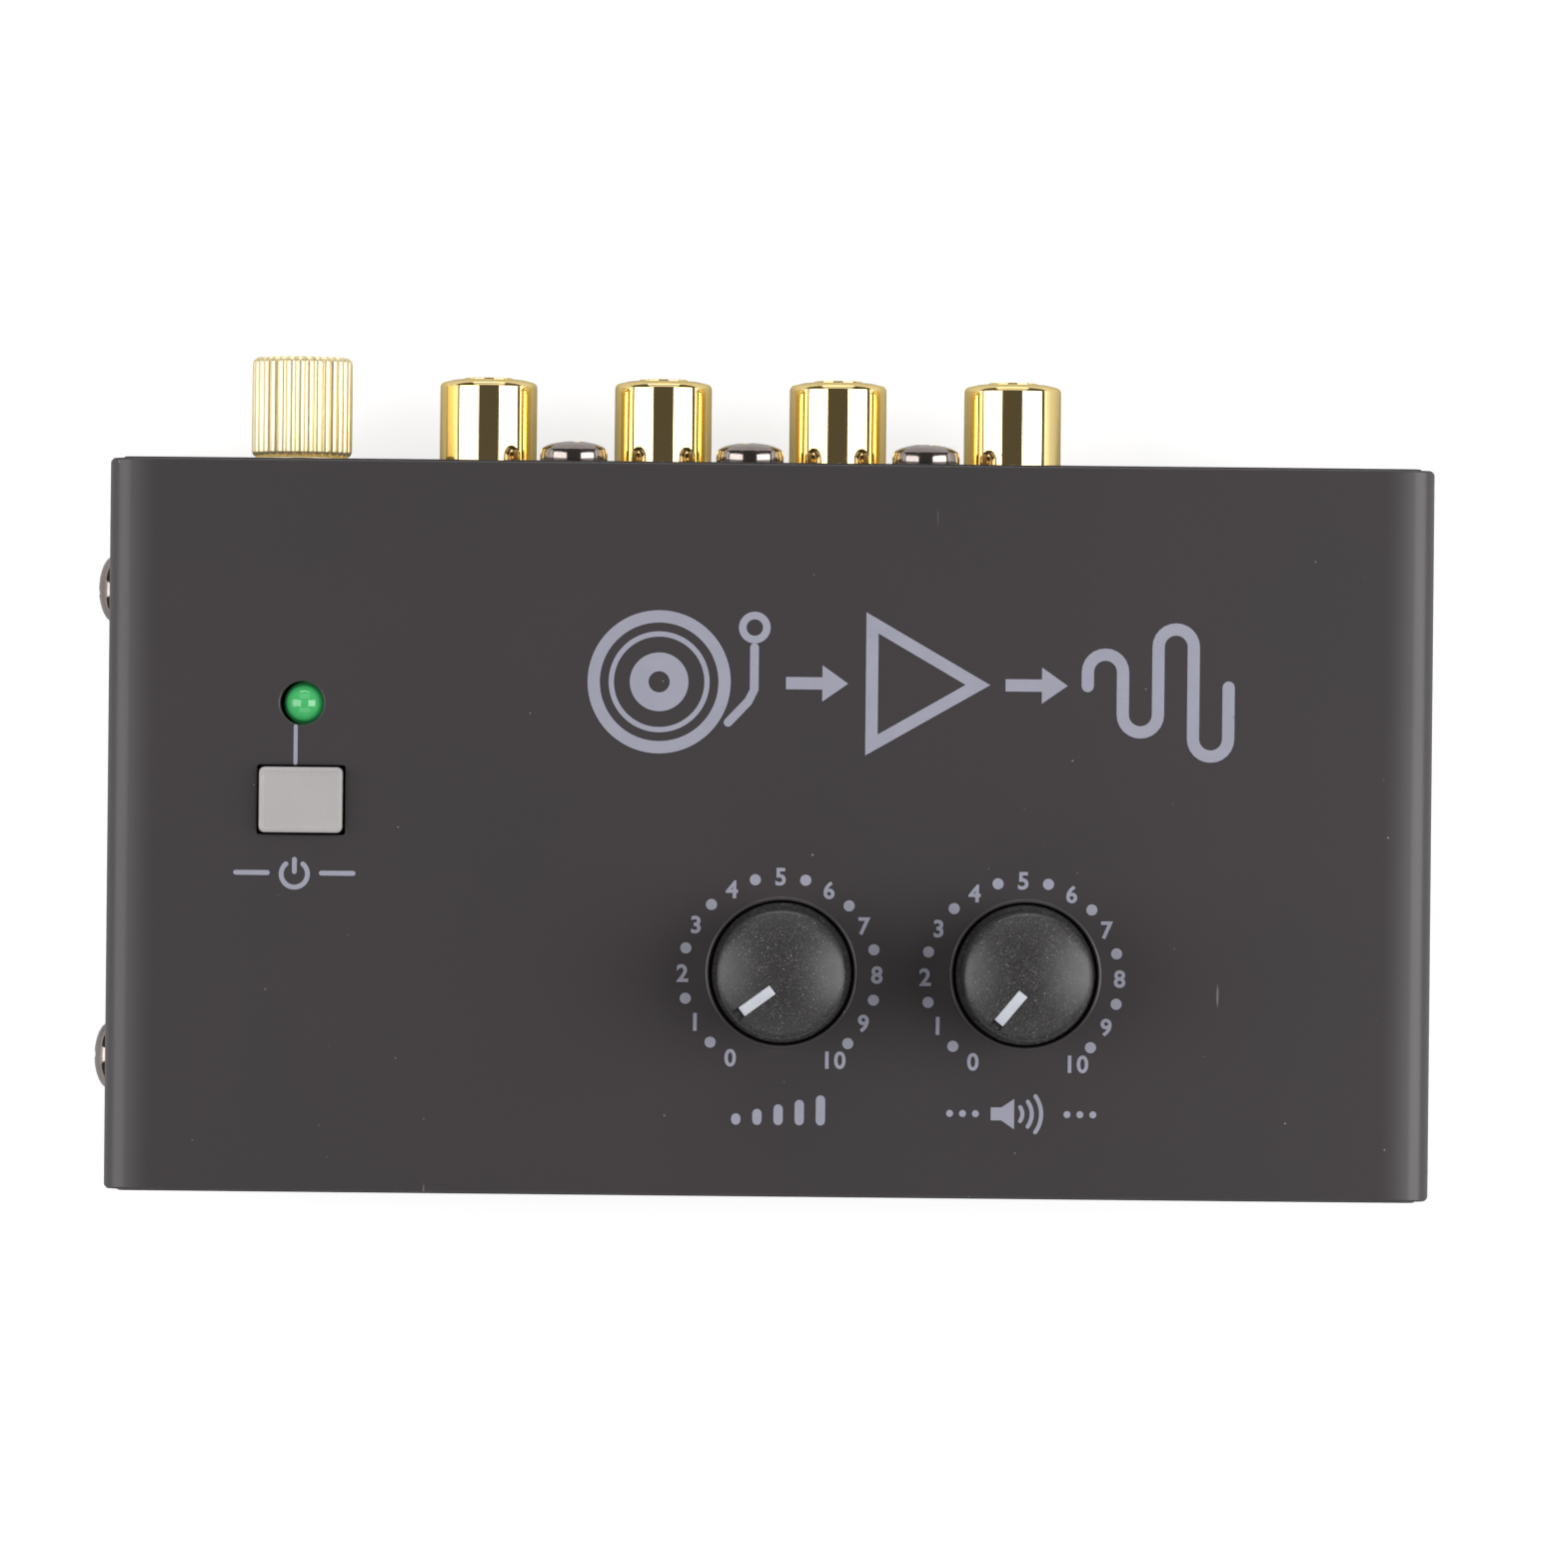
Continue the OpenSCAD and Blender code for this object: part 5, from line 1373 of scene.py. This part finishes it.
@dataclass
class EarthTerminal:
    """The knurled nut, the washer and the bolt of the earth terminal."""

    ridges: int = 32
    groove: float = 0.2
    shoulder: float = 0.3
    chamfer: float = 0.4
    bore: float = 2.05
    washer_edge: float = 0.06
    bolt_edge: float = 0.15

    def build(self) -> None:
        """Builds the nut from a notched circle, and refines the bolt and the washer."""
        centre, (back, tip) = middle("earth_nut"), span("earth_nut", 1)
        nut = self.nut(half_width("earth_nut", 2), tip - back)
        nut.smooth(32)
        nut.place((centre.x, back * MM, centre.z), Facing.REAR.value)
        lathe = {"name": "nut_gold_turned", "centre": tuple(centre), "facing": Facing.REAR}
        nut.hand_over("earth_nut_knurled", Body.NUT, "gold_plate", "earth_nut",
                      finish=TurnedFinish(**asdict(NUT_GOLD) | lathe))
        for node, body, edge in (("earth_washer", Body.CLAMP, self.washer_edge),
                                 ("earth_bolt", Body.CASE, self.bolt_edge)):
            Work.refined(node, edge).hand_over(node + "_round", body, "gold_plate", node, finish=NUT_GOLD)

    def nut(self, radius: float, length: float) -> Work:
        """Knurls and bores the nut.

        Args:
            radius: its radius over the ridges.
            length: its length.

        Returns:
            The nut, standing on Z.
        """
        Work.clear()
        step = math.tau / 6 / self.ridges
        bpy.ops.mesh.primitive_circle_add(vertices=6 * self.ridges, radius=radius * MM, fill_type="NOTHING")
        nut = Work()
        nut.edit()
        for phases, share in (((3,), 1.0), ((2, 4), self.shoulder), ((1, 5), self.shoulder ** 2)):
            nut.choose("VERT", lambda vert: round(math.atan2(vert.co.y, vert.co.x) / step) % 6 in phases)
            Work.widen((radius - share * self.groove) / radius)
        bpy.ops.mesh.select_all(action="SELECT")
        rim, flank, bore = radius - self.chamfer, radius - 0.12, self.bore
        Work.widen(rim / radius)
        Work.climb([(rim, 0.0), (flank, 0.22), (radius, self.chamfer + 0.1), (radius, length - self.chamfer - 0.1),
                    (flank, length - 0.22), (rim, length), (bore + 0.55, length), (bore, length - 0.5), (bore, 0.5),
                    (bore + 0.5, 0.0), (rim, 0.0)])
        return nut


@dataclass
class RearInlets:
    """The power inlet and the output socket in the rear wall."""

    body_edge: float = 0.15
    pin_edge: float = 0.08

    def build(self) -> None:
        """Rounds the edges of both bodies and of the inlet's pin."""
        for node, slot, edge in (("inlet_body", "black_plastic", self.body_edge),
                                 ("output_body", "black_plastic", self.body_edge),
                                 ("inlet_pin", "bright_metal", self.pin_edge)):
            Work.refined(node, edge).hand_over(node + "_fine", Body.CASE, slot, node)


@dataclass
class Inside:
    """What the case hides: the board and everything on it, and any node that is left as built."""

    record: dict

    def build(self) -> None:
        """Gives every node the finish of its slot."""
        slots = {part["node"]: part["material_slot"] for part in self.record["subparts"]}
        for node, piece in Work.nodes.items():
            material = SLOT_FINISH[slots[node]].material()
            if not piece.material_slots:
                piece.data.materials.append(material)
            for place in piece.material_slots:
                place.material = material
            LOG.info("%s: %s", node, material.name)


# ---------- studio ----------


@dataclass(frozen=True)
class Softbox:
    """One rectangular studio lamp that is aimed at the preamp, with its sizes in metres."""

    name: str
    place: Point
    width: float
    depth: float
    power: float
    aim: Point = (0.0, 0.0, 0.02)

    def light(self) -> None:
        """Hangs the lamp and turns it to its aim."""
        lamp = bpy.data.lights.new(self.name, "AREA")
        lamp.shape = "RECTANGLE"
        lamp.size, lamp.size_y, lamp.energy = self.width, self.depth, self.power
        hung = bpy.data.objects.new(self.name, lamp)
        bpy.context.scene.collection.objects.link(hung)
        hung.location = self.place
        hung.rotation_euler = (Vector(self.aim) - Vector(self.place)).to_track_quat("-Z", "Y").to_euler()


@dataclass
class Studio:
    """The floor, the lamps, the room and the camera, with their sizes in metres."""

    camera_place: Point = (2.32 * MM, -0.64 * MM, 0.830)
    camera_turn: float = 0.58
    lens: float = 215.7
    sensor: float = 36.0
    clip: Flat = (0.01, 20.0)
    floor_r: float = 4.0
    floor_z: float = -0.00002
    paper: Colour = (0.72, 0.72, 0.72)
    floor_glow: float = 0.62
    # painted shadow: how far from the preamp, and how weak, the glow that metal sees is near it
    painted_shadow_reach: Flat = (0.15, 0.6)
    painted_shadow_share: float = 0.1
    sky: Colour = (0.088, 0.085, 0.083)
    lamps: tuple[Softbox, ...] = (
        Softbox("left_box", (-0.371, 0.0, 0.345), 0.33, 0.45, 1.33),
        Softbox("right_box", (0.371, 0.0, 0.345), 0.33, 0.45, 1.82),
        Softbox("rear_box", (0.0, 0.36, 0.38), 0.6, 0.28, 0.42),
        Softbox("front_box", (0.0, -0.36, 0.38), 0.6, 0.28, 0.36),
        Softbox("left_strip", (-1.5, 0.0, 0.2), 1.0, 0.32, 1.2),
        Softbox("right_strip", (1.5, 0.0, 0.14), 1.0, 0.24, 1.0),
        Softbox("rear_strip", (0.0, 1.5, 0.24), 1.3, 0.34, 4.5),
    )

    def build(self) -> None:
        """Sets up everything round the preamp."""
        scene = bpy.context.scene
        self.backdrop()
        for lamp in self.lamps:
            lamp.light()
        scene.world = bpy.data.worlds.new("studio_room")
        scene.world.use_nodes = True
        room = scene.world.node_tree.nodes["Background"].inputs
        room["Color"].default_value, room["Strength"].default_value = (*self.sky, 1.0), 1.0
        scene.view_settings.view_transform = "Standard"
        eye = bpy.data.cameras.new("camera")
        eye.lens, eye.sensor_width = self.lens, self.sensor
        eye.clip_start, eye.clip_end = self.clip
        scene.camera = bpy.data.objects.new("camera", eye)
        scene.collection.objects.link(scene.camera)
        scene.camera.location = self.camera_place
        scene.camera.rotation_euler = (0.0, 0.0, math.radians(self.camera_turn))

    def backdrop(self) -> None:
        """Lays the round white floor, just under the feet."""
        Work.clear()
        bpy.ops.mesh.primitive_circle_add(vertices=96, radius=self.floor_r, fill_type="NGON",
                                          location=(0.0, 0.0, self.floor_z))
        sweep = bpy.context.object
        Work(sweep).apply()
        sweep.name = "white_sweep"
        sweep.data.materials.append(self.white())

    def white(self) -> bpy.types.Material:
        """Makes the white paper, which the camera, metal and glass see brighter than it is lit.

        Metal sees it dimmer close to the preamp, as a painted shadow of the preamp: its glow for glossy rays is weaker
        there.

        Returns:
            The material.
        """
        paper = bpy.data.materials.new("white_paper")
        paper.use_nodes = True
        paper.node_tree.nodes.clear()
        sheet = Sheet(paper.node_tree)
        path = sheet.lay("ShaderNodeLightPath").outputs
        place = sheet.lay("ShaderNodeTexCoord").outputs["Object"]
        reach = sheet.lay("ShaderNodeVectorMath", {0: place}, operation="LENGTH").outputs["Value"]
        # painted shadow: glossy rays see the floor's glow weaker near the preamp
        mirrored_with_painted_shadow = sheet.times(path["Is Glossy Ray"], sheet.ramp(reach, *self.painted_shadow_reach, self.painted_shadow_share, 1.0))
        clear = sheet.sum("MAXIMUM", mirrored_with_painted_shadow, path["Is Transmission Ray"])
        seen = sheet.sum("MAXIMUM", path["Is Camera Ray"], clear)
        shader = sheet.lay("ShaderNodeBsdfPrincipled", {
            "Base Color": self.paper, "Roughness": 0.9, "Specular IOR Level": 0.0, "Emission Color": (1.0, 1.0, 1.0),
            "Emission Strength": sheet.times(seen, self.floor_glow)})
        sheet.lay("ShaderNodeOutputMaterial", {"Surface": shader.outputs[0]})
        return paper


def main() -> None:
    """Builds the sub-assemblies in order, then the studio."""
    logging.basicConfig(level=logging.INFO, format="%(name)s %(message)s")
    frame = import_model()
    Work.nodes = frame["nodes"]
    for assembly in (Inside(frame["record"]), Case(), CoverPrint(), RearPrint(), Dial("level", Body.LEVEL, 126.6),
                     Dial("volume", Body.VOLUME, 140.7), PowerSwitch(), Lamp(), SocketRow(), EarthTerminal(),
                     RearInlets(), Studio()):
        assembly.build()
        LOG.info("%s is done", type(assembly).__name__)
    Work.clear()


if __name__ == "__main__":
    main()
